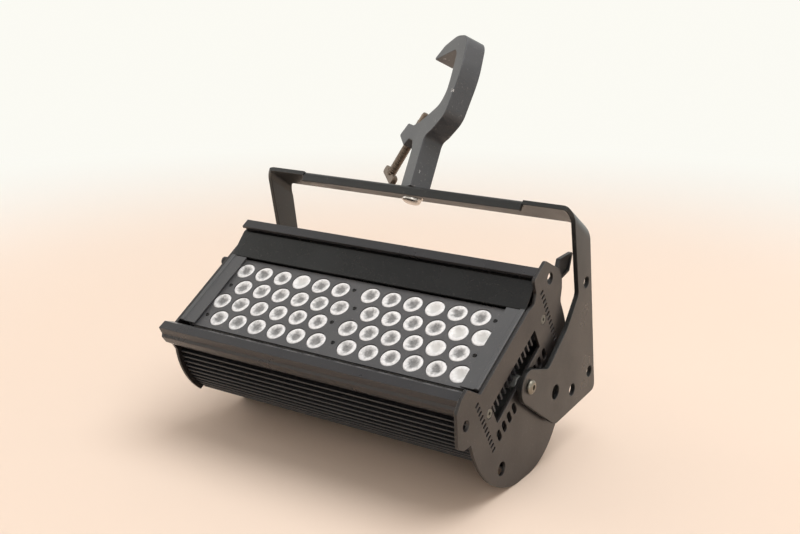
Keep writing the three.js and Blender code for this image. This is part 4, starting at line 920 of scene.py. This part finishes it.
cuts = [((side * bend, 0, 0), (1, 0, 0)) for bend in bends for side in (-1, 1)]
cuts += [((0, fold, 0), (0, 1, 0)) for fold in folds]
with shaping(strip_mesh) as work:
    for spot, way in cuts:
        whole = work.verts[:] + work.edges[:] + work.faces[:]
        bmesh.ops.bisect_plane(work, geom=whole, dist=1e-4, plane_co=spot, plane_no=way)
    for vertex in work.verts:
        along, across, depth = vertex.co
        reach = abs(along)
        if across < fold_start and reach < fold_half_length + 0.3:
            folded = min((fold_start - across) / fold_radius, math.pi / 2)
            past = max(0, fold_end - across)
            across = fold_start - (fold_radius + depth) * math.sin(folded)
            depth = (fold_radius + depth) * math.cos(folded) - fold_radius - past
        turn = min(max(0, (reach - bend_start) / bend_radius), math.pi / 2)
        x = min(reach, bend_start) + (bend_radius + depth) * math.sin(turn)
        up = bend_low + (bend_radius + depth) * math.cos(turn) - max(0, reach - bend_end)
        vertex.co = (math.copysign(x, along), across, up)
fitted("yoke_strip", strip_mesh, yoke, "yoke", "brown_paint", [yoke_paint, yoke_edge], "yoke_bracket")


# Pivots: on each side a button-head bolt holds the arm, with a black friction washer under the arm and
# a zinc nut behind the end plate.
warm_steel = coating("bolt steel", (0.24, 0.22, 0.18), 0.34, 350, 0.10, cloud=0.25, metallic=0.9)
washer_black = coating("friction washer", (0.02, 0.02, 0.02), 0.6, 900, 0.2)
button_profile = [
    (0, 158.7), (3.4, 158.7), (4, 159.4), (4, 178.3), (6.3, 178.3), (6.5, 178.7), (6.45, 179.7), (6.0, 180.6),
    (5.1, 181.3), (3.9, 181.7), (0, 181.7),
]
button_socket = [(0, 179.6), (2.6, 179.6), (2.6, 183), (0, 183)]
bolt_hole = circle(0, 0, 4.3)
nut_outline = rounded([(*corner, 0.6) for corner in circle(0, 0, 8, 6)], 3)
pivot_way = along_light @ Matrix.Translation((*centre, 0))
for side_name, way in (("left", pivot_way @ facing_left), ("right", pivot_way)):
    bolt = carved(turned(button_profile), turned(button_socket, 6))
    fitted(side_name + "_button_bolt", bolt, way, "fixture", "bare_steel", [warm_steel],
           side_name + "_pivot_bolt")
    ring = cut_from_sheet([circle(0, 0, 11, 48), bolt_hole], 170.8, 173.2)
    fitted(side_name + "_friction_ring", ring, way, "fixture", "black_plastic", [washer_black, washer_black],
           side_name + "_pivot_washer")
    nut = cut_from_sheet([nut_outline, bolt_hole], 160.7, 167.2, edge=0.5)
    fitted(side_name + "_lock_nut", nut, way, "fixture", "zinc_plate", [zinc, zinc], side_name + "_pivot_nut")


# Clamp bolt: a bright steel bolt goes up through the bar into the clamp, with a washer under the bar.
# The clamp swivels about it.
clamp = yoke @ Matrix.Translation((0, 0.6, 164.5)) @ Matrix.Rotation(math.radians(56.6), 4, "Z")
bright_steel = coating("bright steel", (0.62, 0.58, 0.54), 0.24, 300, 0.05, metallic=0.95)
stud_profile = [
    (0, -13.6), (4.5, -13.5), (7.4, -12.9), (9.1, -11.8), (9.8, -10.2), (9.8, -7.5), (9.4, -7.1), (6, -7.1),
    (6, 19.4), (5.4, 20), (0, 20),
]
fitted("clamp_stud", turned(stud_profile, 56), clamp, "yoke", "bare_steel", [bright_steel], "clamp_bolt")
ring = cut_from_sheet([circle(0, 0, 11, 56), circle(0, 0, 6.3, 40)], -6.8, -4.8, edge=0.35)
fitted("clamp_ring", ring, clamp, "yoke", "bare_steel", [bright_steel, bright_steel], "clamp_washer")


# Hook clamp: one thick aluminium hook, painted grey, chipped and worn along its edges, that hangs on a
# pipe. An ear on it carries the clamping screw.
clamp_paint = coating("clamp paint", (0.054, 0.056, 0.061), 0.36, 700, 0.22, cloud=0.16, dust=0.4)
clamp_edge = worn("clamp edge", (0.08, 0.08, 0.082), (0.66, 0.65, 0.64), 0.22)
chip_metal = (0.62, 0.61, 0.60, 1)
tree = clamp_paint.node_tree
paint_colour = tree.nodes["Principled BSDF"].inputs["Base Color"]
place = wire(tree, "ShaderNodeTexCoord").outputs["Object"]
chipped = ranged(tree, noise(tree, place, scale=95, detail=3, roughness=0.6), 0.71, 0.74)
tree.links.new(blended(tree, chipped, paint_colour.links[0].from_socket, chip_metal), paint_colour)

hook_half_thickness = 10.9
hook_outline = [
    (11.3, 0), (14.41, 42.92, 16.38), (19.98, 53.4, 4.91), (30.63, 57.33, 4.91), (38.98, 51.27, 1.64),
    (57.17, 65.85, 3.28), (43.9, 77.15, 3.28), (29.81, 72.24, 8.19), (17.04, 73.22, 8.19), (0, 78.95, 8.19),
    (-18.02, 85.83, 16.38), (-24.57, 98.28, 24.57), (-23.42, 114.66, 49.14), (-19.66, 140.87, 13.1),
    (-14.74, 147.26, 4.91), (28.17, 146.44, 0.82), (29.65, 148.89, 1.64), (14.74, 159.71, 19.66),
    (-8.52, 164.95, 24.57), (-33.58, 158.89, 19.66), (-42.92, 117.94, 81.9), (-37.35, 71.09, 19.66),
    (-17.2, 57.66, 13.1), (-6.55, 54.05, 13.1), (-11.47, 0),
]
screw_way = Matrix.Translation((0, 73.05, 27.03)) @ Matrix.Rotation(math.radians(33.7), 4, "X")
stud_bore = turned([(0, -2), (6.3, -2), (6.3, 24), (0, 24)], 40)
screw_bore = turned([(0, 8), (5.2, 8), (5.2, 78), (0, 78)], 40)
screw_bore.transform(screw_way)
hook = cut_from_sheet([rounded(hook_outline, 10)], -hook_half_thickness, hook_half_thickness, edge=0.9)
hook.transform(section_along_x)
fitted("hook", carved(hook, stud_bore, screw_bore), clamp, "clamp", "clamp_grey", [clamp_paint, clamp_edge],
       "hook_clamp")


# Clamping screw: a threaded rod, brown with age, through the hook's ear, with a wing cast on its lower
# end for the fingers.
aged_steel = coating("aged screw steel", (0.16, 0.12, 0.09), 0.42, 380, 0.2, cloud=0.35, metallic=0.75,
                     dust=0.3)
thread, size = recipe("thread round a rod", {
    "Turns": "Float", "Rod Radius": "Float", "Height": "Float", "Ridge": "Float", "Metal": "Material",
})
line = result(thread, "GeometryNodeCurveSpiral", {
    "Resolution": 20, "Rotations": size["Turns"], "Start Radius": size["Rod Radius"],
    "End Radius": size["Rod Radius"], "Height": size["Height"],
})
ridge = result(thread, "GeometryNodeCurvePrimitiveCircle", {"Resolution": 5, "Radius": size["Ridge"]})
helix = result(thread, "GeometryNodeCurveToMesh", {"Curve": line, "Profile Curve": ridge, "Fill Caps": True})
both = wire(thread, "GeometryNodeJoinGeometry", {0: helix})
thread.links.new(size["Geometry"], both.inputs[0])
close_recipe(thread, both.outputs[0], size["Metal"])

rod = turned([(0, 0), (4.15, 0), (4.15, 73), (3.4, 75.6), (2.4, 76), (0, 76)], 40)
threaded = made_by(thread, rod, {
    "Turns": 38.0, "Rod Radius": 4.1, "Height": 66.0, "Ridge": 0.65, "Metal": aged_steel,
})
wing_outline = [
    (-18, -5, 4), (-18, 4.6, 4.5), (-9, 5, 3), (-5, 1.5, 2), (5, 1.5, 2), (9, 5, 3), (18, 4.6, 4.5),
    (18, -5, 4), (7, -5, 2), (-7, -5, 2),
]
wing = cut_from_sheet([rounded(wing_outline, 8)], -3, 3, edge=1.1)
wing.transform(section_along_x)
fitted("threaded_rod", merged(threaded, wing), clamp @ screw_way, "clamp_screw", "dark_steel",
       [aged_steel, aged_steel], "clamp_screw")
